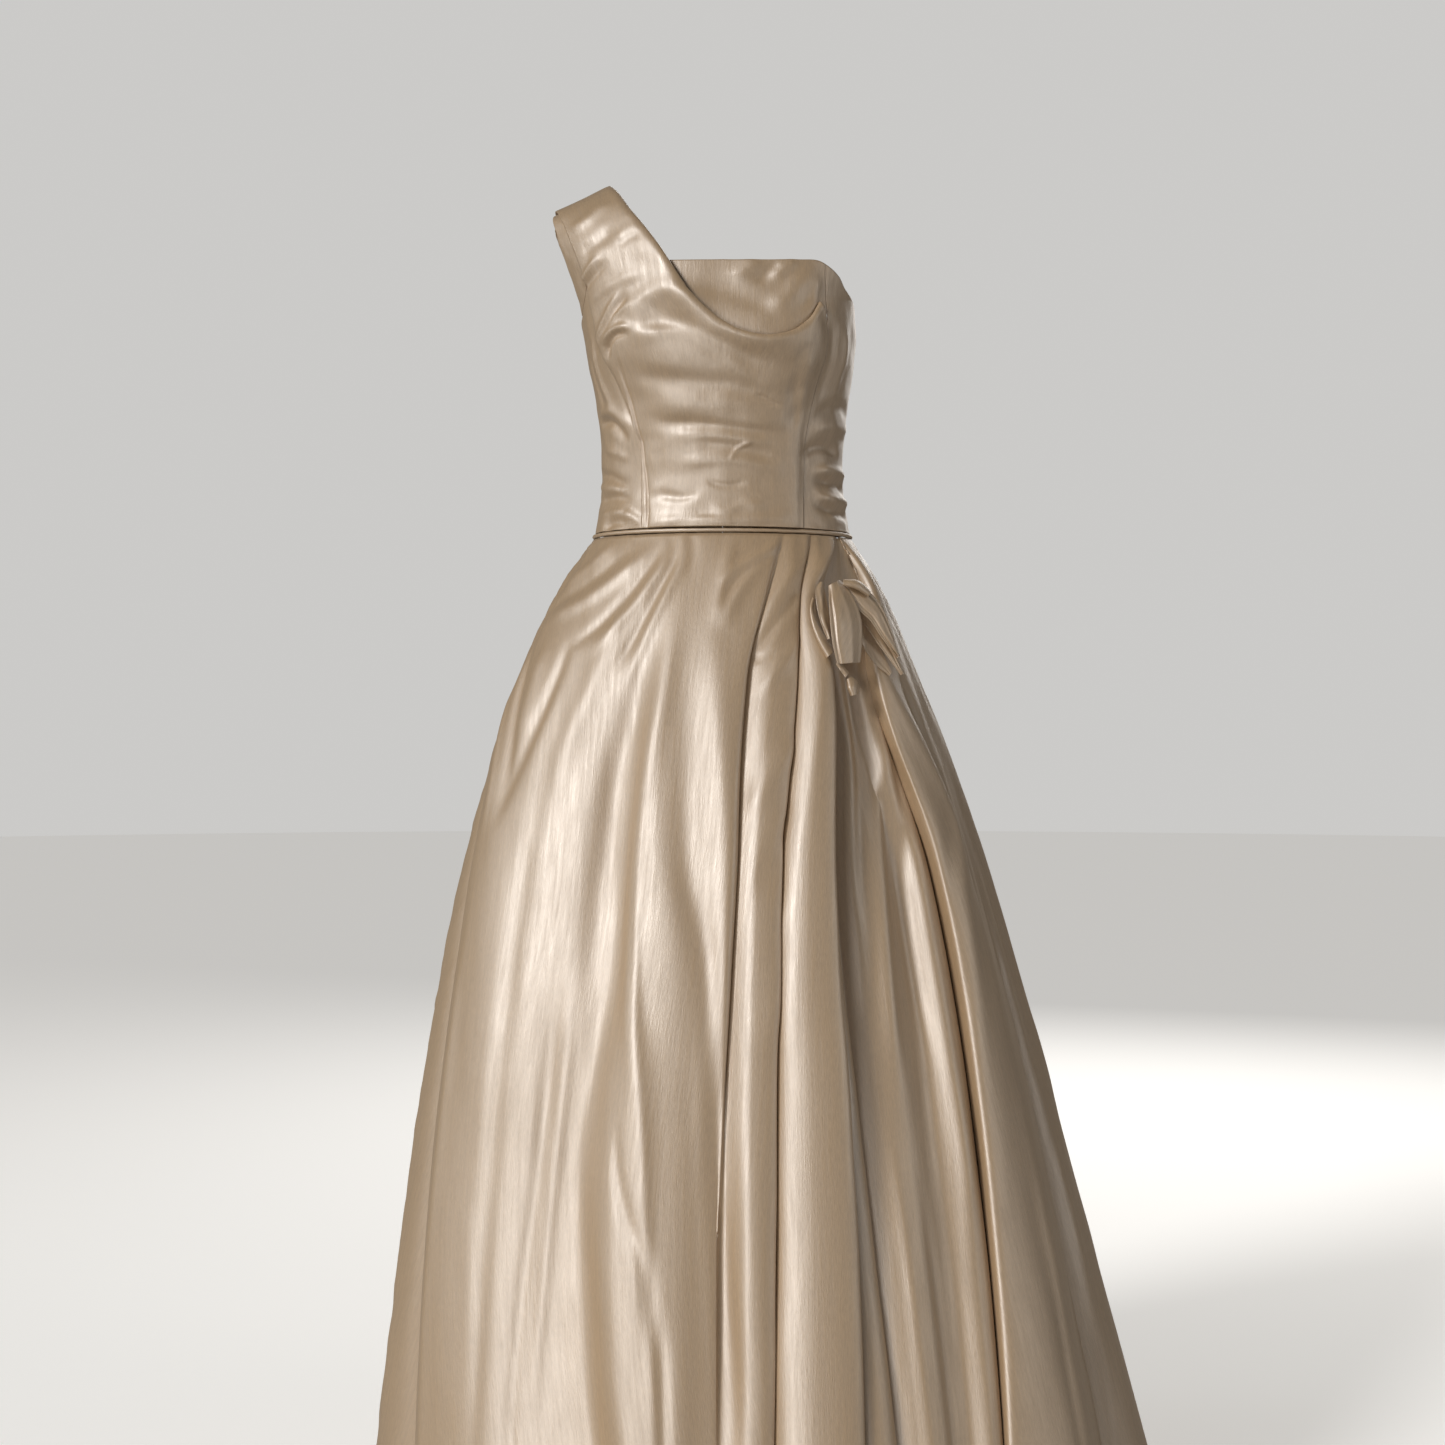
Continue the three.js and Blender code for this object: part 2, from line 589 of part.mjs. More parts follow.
// A leaf rolled into a tube that is left open along its back.
function roll(name, stations, open, sides, rows) {
  const knots = steps(0, 1, stations.length - 1);
  const column = (k) => stations.map((station) => station[k]);
  const at = (k, v) => through(knots, column(k), v);
  const surface = (u, v) => {
    const [v0, v1] = [clamp01(v - TINY), clamp01(v + TINY)];
    const along = new THREE.Vector2(at(0, v1) - at(0, v0), at(1, v1) - at(1, v0)).normalize();
    const turn = rad(mix(open / 2 - 180, 180 - open / 2, u));
    const side = Math.sin(turn) * at(3, v);
    const out = at(2, v) + Math.cos(turn) * at(3, v);
    return onBow(at(0, v) - along.y * side, at(1, v) + along.x * side, out);
  };
  add(name, wall(surface, steps(0, 1, sides), steps(0, 1, rows)));
}

leaf(
  "bow_leaf_centre",
  [[-14.5, 27, 18, 8], [-8, 12, 23, 15], [-1, -11, 25, 20], [1, -35, 23, 19], [2.5, -56, 19, 15]],
  5, 6, 8,
);
leaf(
  "bow_petal_left",
  [[-29, 27, 12, 3], [-32, 17, 13, 6], [-27.5, -8, 14, 6.5], [-21, -31, 13, 2.5]],
  2, 3, 6,
);
roll(
  "bow_petal_rolled",
  [[-40, 11, 4, 2.2], [-43, 0, 5, 2.6], [-40, -14, 6, 4], [-32, -30, 8, 5.5], [-20, -47, 10, 6.5]],
  70, 7, 8,
);
leaf(
  "bow_leaf_right",
  [[4, 24, 18, 6], [24, 9, 20, 12], [39, -4, 21, 10.5], [53, -25, 20, 7.5], [68, -48, 17, 1.5]],
  4, 5, 8,
);
leaf(
  "bow_leaf_under",
  [[18, 6, 11, 8], [34, -10, 12, 10], [51, -32, 13, 9], [73, -66, 12, 1.5]],
  3, 4, 6,
);
leaf(
  "bow_petal_lower",
  [[20, -12, 2, 6], [30, -31, 3, 9], [42, -49, 6, 8], [58, -66, 8, 2.5]],
  2, 4, 5,
);
roll("bow_knot", [[-3, 27, 25, 3.5], [15, 25, 29, 5], [31, 16, 28, 3.5]], 90, 7, 5);
leaf("bow_stem", [[-12, -55, 8, 2.5], [-6, -61, 8, 3], [1, -68, 8, 3.5]], 1.5, 3, 3);
roll("bow_bud", [[3, -70.5, 7, 3.5], [8, -79, 7, 7.5], [10, -88, 7, 5.5]], 80, 7, 4);

export default gown;
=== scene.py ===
"""A one-shoulder satin ball gown, in its worn form, laid out as an add-on.

The gown is made piece by piece on the forms of its CAD solids: a fitted bodice, a cowl
drape that runs up into one wide strap, a corded waist, a full pleated skirt that opens
at the left hip over an inset, and a bow of folded leaves. Sizes in the forms are in
millimetres, and a piece's mesh is in metres. The front faces -Y and +X is the wearer's
left; angles run in degrees from the middle of the front, towards the wearer's left.
"""

import math

import bmesh
import bpy
import numpy as np
from bpy.props import FloatProperty, FloatVectorProperty, PointerProperty
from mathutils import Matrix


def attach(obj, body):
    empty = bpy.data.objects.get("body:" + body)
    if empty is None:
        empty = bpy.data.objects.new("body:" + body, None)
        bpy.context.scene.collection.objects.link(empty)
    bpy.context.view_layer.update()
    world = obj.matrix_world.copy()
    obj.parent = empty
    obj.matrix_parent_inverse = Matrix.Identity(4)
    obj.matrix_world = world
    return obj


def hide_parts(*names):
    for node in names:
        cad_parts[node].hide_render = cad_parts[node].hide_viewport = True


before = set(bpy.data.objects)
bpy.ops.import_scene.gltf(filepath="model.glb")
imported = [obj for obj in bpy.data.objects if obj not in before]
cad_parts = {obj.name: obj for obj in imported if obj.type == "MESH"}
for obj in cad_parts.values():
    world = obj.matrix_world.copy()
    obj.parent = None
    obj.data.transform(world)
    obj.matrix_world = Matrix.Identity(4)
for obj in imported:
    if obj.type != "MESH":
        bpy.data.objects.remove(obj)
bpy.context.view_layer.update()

bl_info = {
    "name": "Satin ball gown",
    "version": (1, 0, 0),
    "blender": (4, 5, 0),
    "location": "View3D > Sidebar > Gown",
    "description": "Makes a one-shoulder satin ball gown with a pleated skirt and a bow",
    "category": "Add Mesh",
}

MM = 0.001
CLOTH = 2  # the CAD cloth wall, from which the layers are spaced
SEAM_GAP = 0.5  # space between two panels that meet
LOOSE_GAP = 1.5  # space between the under strap and the panels it meets
LAYER = 2  # space between a panel and a layer that lies on it
HEM_DEPTH = 1090  # waist seam to hem
SKIRT_TOP = 3.6  # depth of the skirt's cut edge below the waist plane
INSET_TOP = 5
BODICE_FOOT = 3
NECKLINE = 274
UNDERARM = 224
BACK_TOP = 243
ARCH_FOOT = 245  # height where the chest starts to turn over the shoulder
ARCH_RISE = 125
SHOULDER_SLOPE = 0.41
STRAP_INNER = -119
STRAP_OUTER = -177


# ---------- curves ----------


def mix(a, b, t):
    return a + (b - a) * t


def smooth(a, b, x):
    t = np.clip((x - a) / (b - a), 0, 1)
    return t * t * (3 - 2 * t)


def through(knots, values, x):
    """A smooth curve through values at knots: cubic spans with averaged slopes."""
    k, y = np.asarray(knots, float), np.asarray(values, float)
    x = np.clip(x, k[0], k[-1])
    i = np.clip(np.searchsorted(k, x) - 1, 0, len(k) - 2)
    every = np.arange(len(k))
    before, after = np.maximum(every - 1, 0), np.minimum(every + 1, len(k) - 1)
    slope = (y[after] - y[before]) / (k[after] - k[before])
    span = k[i + 1] - k[i]
    t = (x - k[i]) / span
    u = 1 - t
    ends = y[i] * u * u * (1 + 2 * t) + y[i + 1] * t * t * (3 - 2 * t)
    return ends + span * t * u * (slope[i] * u - slope[i + 1] * t)


def curve_point(points, t):
    """A point at share t of a centripetal Catmull-Rom curve through two-number points."""
    p = np.asarray(points, float)
    t = np.clip(t, 0, 1) * (len(p) - 1)
    i = np.minimum(np.floor(t).astype(int), len(p) - 2)
    w = (t - i)[..., None]
    first, last = 2 * p[0] - p[1], 2 * p[-1] - p[-2]
    q = np.concatenate([[first], p, [last]])
    p0, p1, p2, p3 = q[i], q[i + 1], q[i + 2], q[i + 3]

    def gap(a, b):
        return np.maximum(np.sqrt(np.linalg.norm(b - a, axis=-1, keepdims=True)), 1e-4)

    g0, g1, g2 = gap(p0, p1), gap(p1, p2), gap(p2, p3)
    m1 = ((p1 - p0) / g0 - (p2 - p0) / (g0 + g1) + (p2 - p1) / g1) * g1
    m2 = ((p2 - p1) / g1 - (p3 - p1) / (g1 + g2) + (p3 - p2) / g2) * g1
    a, b = 2 * p1 - 2 * p2 + m1 + m2, -3 * p1 + 3 * p2 - 2 * m1 - m2
    return ((a * w + b) * w + m1) * w + p1


def ripple(a, b, cell_a, cell_b, seed):
    """Smooth random heights from -1 to 1 over cells of the cloth."""
    size = 97
    heights = np.random.default_rng(seed).uniform(-1, 1, (size, size))
    x, y = a / cell_a + 48, b / cell_b + 7
    i, j = np.floor(x).astype(int), np.floor(y).astype(int)
    s, t = x - i, y - j
    s, t = s * s * s * (s * (6 * s - 15) + 10), t * t * t * (t * (6 * t - 15) + 10)
    i, j = i % (size - 1), j % (size - 1)
    near = mix(heights[i, j], heights[i + 1, j], s)
    far = mix(heights[i, j + 1], heights[i + 1, j + 1], s)
    return mix(near, far, t)


def nearest(line, x, y):
    """How far points are from a line, and the share of its length where it is nearest."""
    step = np.diff(line, axis=0)
    run = np.concatenate([[0], np.cumsum(np.hypot(step[:, 0], step[:, 1]))])
    best, share = np.full(np.shape(x), 1e9), np.zeros(np.shape(x))
    for k, (dx, dy) in enumerate(step):
        px, py = x - line[k, 0], y - line[k, 1]
        t = np.clip((px * dx + py * dy) / max(dx * dx + dy * dy, 1e-9), 0, 1)
        far = np.hypot(px - t * dx, py - t * dy)
        closer = far < best
        best = np.where(closer, far, best)
        share = np.where(closer, mix(run[k], run[k + 1], t) / run[-1], share)
    return best, share


def creases(rows, angle, along, radius):
    """How far the cloth stands out at soft creases.

    Each row is a height, a half-width and a path of angles and heights or depths; a
    crease fades out towards both its ends.
    """
    total = np.zeros_like(along)
    x, y = np.radians(angle) * radius(along), along
    for high, wide, path in rows:
        line = curve_point(path, np.linspace(0, 1, 6 * len(path)))
        line[:, 0] = np.radians(line[:, 0]) * radius(line[:, 1])
        low, top = line.min(axis=0) - 2.6 * wide, line.max(axis=0) + 2.6 * wide
        near = (x > low[0]) & (x < top[0]) & (y > low[1]) & (y < top[1])
        if near.any():
            far, share = nearest(line, x[near], y[near])
            fade = smooth(0, 0.3, share) * smooth(0, 0.3, 1 - share)
            total[near] += high * fade * np.exp(-((far / wide) ** 2))
    return total


# ---------- pieces ----------


def normals(points):
    """Outward normals of a grid whose columns run right and rows run down."""
    across, down = np.gradient(points, axis=0), np.gradient(points, axis=1)
    n = np.cross(down, across)
    return n / np.maximum(np.linalg.norm(n, axis=-1, keepdims=True), 1e-9)


def cloth_mesh(name, points, flat_x=None, flat_y=None):
    """A mesh over a grid of points in millimetres, with its unrolled sizes as UVs.

    The unrolled sizes are measured along the grid unless they are given.
    """
    columns, rows = points.shape[0] - 1, points.shape[1] - 1
    bm = bmesh.new()
    bmesh.ops.create_grid(bm, x_segments=columns, y_segments=rows, size=0.5)
    mesh = bpy.data.meshes.new(name)
    bm.to_mesh(mesh)
    bm.free()
    flat = np.empty(len(mesh.vertices) * 3)
    mesh.vertices.foreach_get("co", flat)
    flat = flat.reshape(-1, 3)
    i = np.rint((flat[:, 0] + 0.5) * columns).astype(int)
    j = np.rint((0.5 - flat[:, 1]) * rows).astype(int)
    mesh.vertices.foreach_set("co", (points[i, j] * MM).ravel())
    across = np.linalg.norm(np.diff(points, axis=0), axis=-1)
    down = np.linalg.norm(np.diff(points, axis=1), axis=-1).mean(axis=0)
    right = np.concatenate([np.zeros((1, rows + 1)), np.cumsum(across, axis=0)]) * MM
    right -= right[columns // 2]
    fall = np.concatenate([[0], np.cumsum(down)]) * MM
    corner = np.empty(len(mesh.loops), int)
    mesh.loops.foreach_get("vertex_index", corner)
    at = np.stack([right[i, j], -fall[j]], axis=-1)[corner]
    if flat_x is not None:
        at = np.stack([flat_x[i, j], flat_y[i, j]], axis=-1)[corner] * MM
    mesh.uv_layers.new(name="cloth").data.foreach_set("uv", at.ravel())
    mesh.polygons.foreach_set("use_smooth", np.ones(len(mesh.polygons), bool))
    mesh.update()
    return mesh


def add_piece(node, points, material, thickness=None):
    """A piece of cloth over a grid of points that stands for a CAD node."""
    mesh = points if isinstance(points, bpy.types.Mesh) else cloth_mesh(node, points)
    mesh.materials.append(material)
    piece = bpy.data.objects.new("satin_" + node, mesh)
    bpy.context.scene.collection.objects.link(piece)
    if thickness:
        wall = piece.modifiers.new("cloth wall", "SOLIDIFY")
        wall.thickness = thickness
        wall.offset = -1
    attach(piece, "root")
    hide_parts(node)
    return piece


def spaced(count, edge):
    """Even shares from 0 to 1, with a narrow first and last."""
    inner = edge + (1 - 2 * edge) * np.linspace(0, 1, count + 1)
    return np.concatenate([[0], inner, [1]])


# ---------- satin ----------


def make_node(tree, kind, inputs=None, **settings):
    """A shader node whose inputs are set to values or linked to other nodes' outputs."""
    node = tree.nodes.new("ShaderNode" + kind)
    for key, value in settings.items():
        setattr(node, key, value)
    for key, value in (inputs or {}).items():
        if isinstance(value, bpy.types.NodeSocket):
            tree.links.new(value, node.inputs[key])
        else:
            node.inputs[key].default_value = value
    return node


def weave_group():
    """Satin's grain over unrolled cloth: fine ribs across, slubs, clouds of tone."""
    name = "satin grain"
    if name in bpy.data.node_groups:
        return bpy.data.node_groups[name]
    group = bpy.data.node_groups.new(name, "ShaderNodeTree")
    add = group.interface.new_socket
    add("Cloth", in_out="INPUT", socket_type="NodeSocketVector")
    for label, value in (("Rib", 1.8), ("Slub", 1.1), ("Cloud", 0.5), ("Relief", 0.24)):
        add(label, in_out="INPUT", socket_type="NodeSocketFloat").default_value = value
    for label, kind in (("Tone", "Float"), ("Gloss", "Float"), ("Normal", "Vector")):
        add(label, in_out="OUTPUT", socket_type="NodeSocket" + kind)
    inside, outside = group.nodes.new("NodeGroupInput"), group.nodes.new("NodeGroupOutput")

    def combined(operation, a, b):
        return make_node(group, "Math", {0: a, 1: b}, operation=operation).outputs[0]

    def noise(scale, detail, roughness):
        place = make_node(group, "Mapping", {"Vector": inside.outputs["Cloth"], "Scale": scale})
        inputs = {"Scale": 1, "Detail": detail, "Roughness": roughness}
        made = make_node(group, "TexNoise", {"Vector": place.outputs["Vector"], **inputs})
        return combined("SUBTRACT", made.outputs["Fac"], 0.5)

    # each scale counts cells to the metre across and along the cloth
    rib = noise((900, 130, 1), 3, 0.65)
    slub = noise((260, 16, 1), 3, 0.6)
    cloud = noise((11, 7, 1), 4, 0.55)
    ribs = combined("MULTIPLY", rib, inside.outputs["Rib"])
    slubs = combined("MULTIPLY", slub, inside.outputs["Slub"])
    clouds = combined("MULTIPLY", cloud, inside.outputs["Cloud"])
    tone = combined("ADD", combined("ADD", ribs, slubs), clouds)
    shine = combined("MULTIPLY", slub, 1.2), combined("MULTIPLY", cloud, 0.8)
    relief = {"Strength": inside.outputs["Relief"], "Height": combined("ADD", rib, slub)}
    bump = make_node(group, "Bump", {"Distance": MM, **relief})
    group.links.new(tone, outside.inputs["Tone"])
    group.links.new(combined("ADD", *shine), outside.inputs["Gloss"])
    group.links.new(bump.outputs["Normal"], outside.inputs["Normal"])
    return group


DEEP_TONE, PALE_TONE = (0.84, 0.82, 0.78), (1.14, 1.16, 1.2)  # the grain's range of colour
SHINE_RANGE = 0.08  # how far the grain turns the satin's roughness either way
SATIN_FINISH = {
    "Metallic": 0.05,
    "IOR": 2.1,
    "Specular IOR Level": 1.0,
    "Sheen Weight": 0.1,
    "Sheen Roughness": 0.45,
    "Sheen Tint": (1.0, 0.94, 0.84, 1),
}


def satin(name, turn=0.0):
    """Champagne satin, its grain turned by some degrees."""
    if name in bpy.data.materials:
        return bpy.data.materials[name]
    colours = bpy.context.scene.gown_colours
    material = bpy.data.materials.new(name)
    material.use_nodes = True
    tree = material.node_tree
    shader = tree.nodes["Principled BSDF"]
    uv = make_node(tree, "UVMap", uv_map="cloth").outputs["UV"]
    turned = (0, 0, math.radians(turn))
    place = make_node(tree, "Mapping", {"Vector": uv, "Rotation": turned}).outputs["Vector"]
    grain = make_node(tree, "Group", {"Cloth": place}, node_tree=weave_group()).outputs
    span_of_tone = {"From Min": -0.45, "From Max": 0.45}
    tone = make_node(tree, "MapRange", {"Value": grain["Tone"], **span_of_tone})
    deep, pale = (
        (*(c * share for c, share in zip(colours.satin, tint)), 1)
        for tint in (DEEP_TONE, PALE_TONE)
    )
    ends = {"Factor": tone.outputs["Result"], "A": deep, "B": pale}
    colour = make_node(tree, "Mix", ends, data_type="RGBA")
    tree.links.new(colour.outputs["Result"], shader.inputs["Base Color"])
    span_of_shine = {
        "From Min": -0.4,
        "From Max": 0.4,
        "To Min": colours.roughness + SHINE_RANGE,
        "To Max": colours.roughness - SHINE_RANGE,
    }
    rough = make_node(tree, "MapRange", {"Value": grain["Gloss"], **span_of_shine})
    tree.links.new(rough.outputs["Result"], shader.inputs["Roughness"])
    tree.links.new(grain["Normal"], shader.inputs["Normal"])
    for key, value in SATIN_FINISH.items():
        shader.inputs[key].default_value = value
    return material


# ---------- the skirt ----------


def flare(waist, slope, spring, reach):
    return lambda d: waist + slope * d + spring * (1 - np.exp(-np.maximum(0, d) / reach))


half_left = flare(137, 0.268, 49, 150)  # towards +X
half_right = flare(137, 0.12, 114, 210)  # towards -X
depth_front = flare(98, 0.225, 52, 150)
depth_back = flare(92, 0.28, 70, 170)

DEPTHS = [0, 60, 150, 350, 700, 1090]

# Each valley between two folds: its angle and how far it sinks, at DEPTHS; how sharp it
# is at the waist and the hem; and how far the folds on its two sides lean over it.
VALLEYS = [
    ([-78, -76, -73, -64, -58.5, -51], [0, 0, 0, 3, 9, 14], (0.8, 0.8), 0.1, 0.7),
    ([-33, -29, -25, -23, -26, -13], [0, 0, 2, 6, 10, 12], (0, 0), 0, 0),
    ([28, 17, 7, 2, 0, -1], [0, 3, 6, 6, 5, 6], (1, 0), 0.5, 0),
    ([42.5, 29, 21.5, 11.5, 7, 5], [0, 3, 6, 10, 15, 18], (1, 1), 0.68, 0.2),
    ([61, 34, 28.5, 20.5, 18, 14.5], [0, 8, 13, 15, 17, 20], (1, 1), 0.66, 0.1),
    ([61.5, 41, 34, 26, 24, 24], [0, 12, 22, 26, 22, 20], (0.8, 0.8), 0.3, 0.1),
    ([61.8, 53, 42, 43, 38, 32], [0, 12, 22, 24, 20, 16], (0, 0), 0, 0),
    ([62, 65.5, 50, 54.5, 47, 36], [0, 5, 12, 17, 20, 22], (1, 1), 0.1, 0.7),
    ([76, 76, 75, 74, 69, 62], [0, 0, 2, 5, 10, 14], (0.4, 0.4), 0.1, 0.2),
    ([98, 98, 97, 96, 93, 88], [0, 0, 2, 5, 9, 12], (0.5, 0.5), 0.2, 0.2),
    ([122, 121, 120, 118, 116, 114], [0, 2, 4, 7, 10, 12], (0.4, 0.4), 0.2, 0.2),
    ([144, 143, 142, 141, 140, 138], [0, 2, 4, 8, 12, 15], (0.6, 0.6), 0.3, 0.1),
    ([163, 162.5, 162, 161, 160, 160], [0, 2, 4, 7, 10, 12], (0.4, 0.4), 0.2, 0.2),
    ([180, 180, 180, 180, 181, 182], [0, 2, 5, 9, 13, 16], (0.7, 0.7), 0.2, 0.2),
    ([198, 198, 199, 200, 202, 204], [0, 2, 4, 7, 11, 13], (0.4, 0.4), 0.2, 0.2),
    ([218, 218, 219, 220, 223, 226], [0, 2, 4, 8, 12, 15], (0.6, 0.6), 0.1, 0.3),
    ([240, 240, 241, 243, 247, 251], [0, 1, 3, 6, 9, 11], (0.4, 0.4), 0.2, 0.2),
    ([262, 262, 263, 265, 270, 277], [0, 0, 2, 5, 8, 11], (0.5, 0.5), 0.2, 0.3),
]

# Each fold from one valley to the next: its height at DEPTHS and where its crest stands.
FOLDS = [
    ([0, 2, 7, 16, 24, 30], 0.42),
    ([0, 2, 6, 15, 22, 24], 0.36),
    ([1, 5, 9, 15, 13, 8], 0.5),
    ([1, 6, 12, 20, 27, 30], 0.5),
    ([0, 1, 3, 9, 16, 22], 0.5),
    ([0, 1, 4, 9, 11, 12], 0.5),
    ([0, 1, 4, 10, 12, 14], 0.5),
    ([0, 4, 10, 19, 26, 32], 0.42),
    ([0, 2, 6, 12, 19, 26], 0.5),
    ([0, 3, 7, 13, 20, 26], 0.5),
    ([0, 4, 8, 14, 22, 28], 0.5),
    ([0, 4, 9, 15, 22, 28], 0.5),
    ([0, 4, 8, 13, 19, 24], 0.5),
    ([0, 4, 8, 13, 19, 24], 0.5),
    ([0, 4, 9, 15, 22, 28], 0.5),
    ([0, 4, 8, 14, 22, 28], 0.5),
    ([0, 3, 7, 13, 20, 26], 0.5),
    ([0, 2, 6, 11, 18, 24], 0.5),
]
TURN = len(VALLEYS)

# Folded edges that stand over a valley: the side of the valley that the fold is on, how
# far it stands at DEPTHS, and how far from the edge it sinks back into the cloth.
LIPS = {
    0: (1, [0, 4, 10, 15, 16, 14], 60),
    2: (-1, [2, 6, 9, 9, 4, 0], 30),
    3: (-1, [1, 2, 3, 5, 7, 8], 26),
    4: (-1, [0, 9, 13, 13, 12, 12], 30),
    7: (1, [0, 8, 12, 14, 14, 13], 30),
    11: (-1, [0, 2, 4, 6, 8, 9], 40),
    13: (1, [0, 1, 2, 4, 6, 8], 40),
    15: (1, [0, 2, 4, 6, 8, 9], 40),
}
LIP_RISE = 5  # how sharply a folded edge rises from its valley
LIP_ROOM = 14  # width over which it gives way to the next valley
LIP_LEAN = 0.8  # how far it leans over its own valley, as a share of how far it stands
# Columns of mesh across each fold.
FOLD_COLUMNS = [64, 46, 34, 44, 30, 30, 32, 48, 44, 42, 42, 42, 40, 40, 42, 42, 42, 42]


def skirt_radius(d):
    """Mean radius of the skirt, which turns an angle into a length across the cloth."""
    return (half_left(d) + half_right(d) + depth_front(d) + depth_back(d)) / 4


def ring(angle, d):
    """The smooth form under the folds."""
    s, c = np.sin(np.radians(angle)), np.cos(np.radians(angle))
    x = s * np.where(s > 0, half_left(d), half_right(d))
    y = -c * np.where(c > 0, depth_front(d), depth_back(d))
    return np.stack([x, y, -d * np.ones_like(angle)], axis=-1)


def skirt(f, d):
    """Points of the skirt and their angles: f counts folds, so 2.5 is mid third fold."""
    k = np.floor(np.minimum(f, TURN - 1e-9)).astype(int)
    t = f - k
    valley = {}
    for n in range(k.min(), k.max() + 2):
        at, sink, sharp, left, right = VALLEYS[n % TURN]
        valley[n] = (
            through(DEPTHS, at, d) + 360 * (n // TURN),
            through(DEPTHS, sink, d),
            mix(sharp[0], sharp[1], np.clip(d / HEM_DEPTH, 0, 1)),
            left,
            right,
        )
    points, angles = np.zeros(f.shape + (3,)), np.zeros(f.shape)
    for n in range(k.min(), k.max() + 1):
        here = k == n
        high, crest = FOLDS[n % TURN]
        a, b = valley[n], valley[n + 1]
        dd, tt = d[here], t[here]
        high = through(DEPTHS, high, dd)
        rising = tt < crest
        phase = np.where(rising, 0.5 * tt / crest, 0.5 + 0.5 * (tt - crest) / (1 - crest))
        sharp = np.where(rising, a[2][here], b[2][here])
        round_arch = 1 - (2 * phase - 1) ** 2
        soft_arch = (1 - np.cos(2 * math.pi * phase)) / 2
        lean = np.where(rising, a[4], b[3]) * high * np.sin(2 * math.pi * phase)
        angle = mix(a[0][here], b[0][here], tt)
        lift = high * mix(soft_arch, round_arch, sharp) - mix(a[1][here], b[1][here], tt)
        across = ring(angle + 0.5, dd) - ring(angle - 0.5, dd)
        across[..., 2] = 0
        across /= np.linalg.norm(across, axis=-1, keepdims=True)
        out = np.stack([across[..., 1], -across[..., 0], np.zeros_like(dd)], axis=-1)
        edges = ((n, 1, a[0][here], b[0][here]), (n + 1, -1, b[0][here], a[0][here]))
        for k_edge, side, edge, other in edges:
            made = LIPS.get(k_edge % TURN)
            if made and made[0] == side:
                far, rest = np.radians(np.abs([angle - edge, angle - other])) * skirt_radius(dd)
                stand = (1 - np.exp(-((far / LIP_RISE) ** 2))) * np.exp(-((far / made[2]) ** 2))
                stand = stand * through(DEPTHS, made[1], dd) * smooth(0, LIP_ROOM, rest)
                lift = lift + stand
                lean = lean + side * LIP_LEAN * stand
        points[here] = ring(angle, dd) + out * lift[..., None] - across * lean[..., None]
        angles[here] = angle
    return points, angles


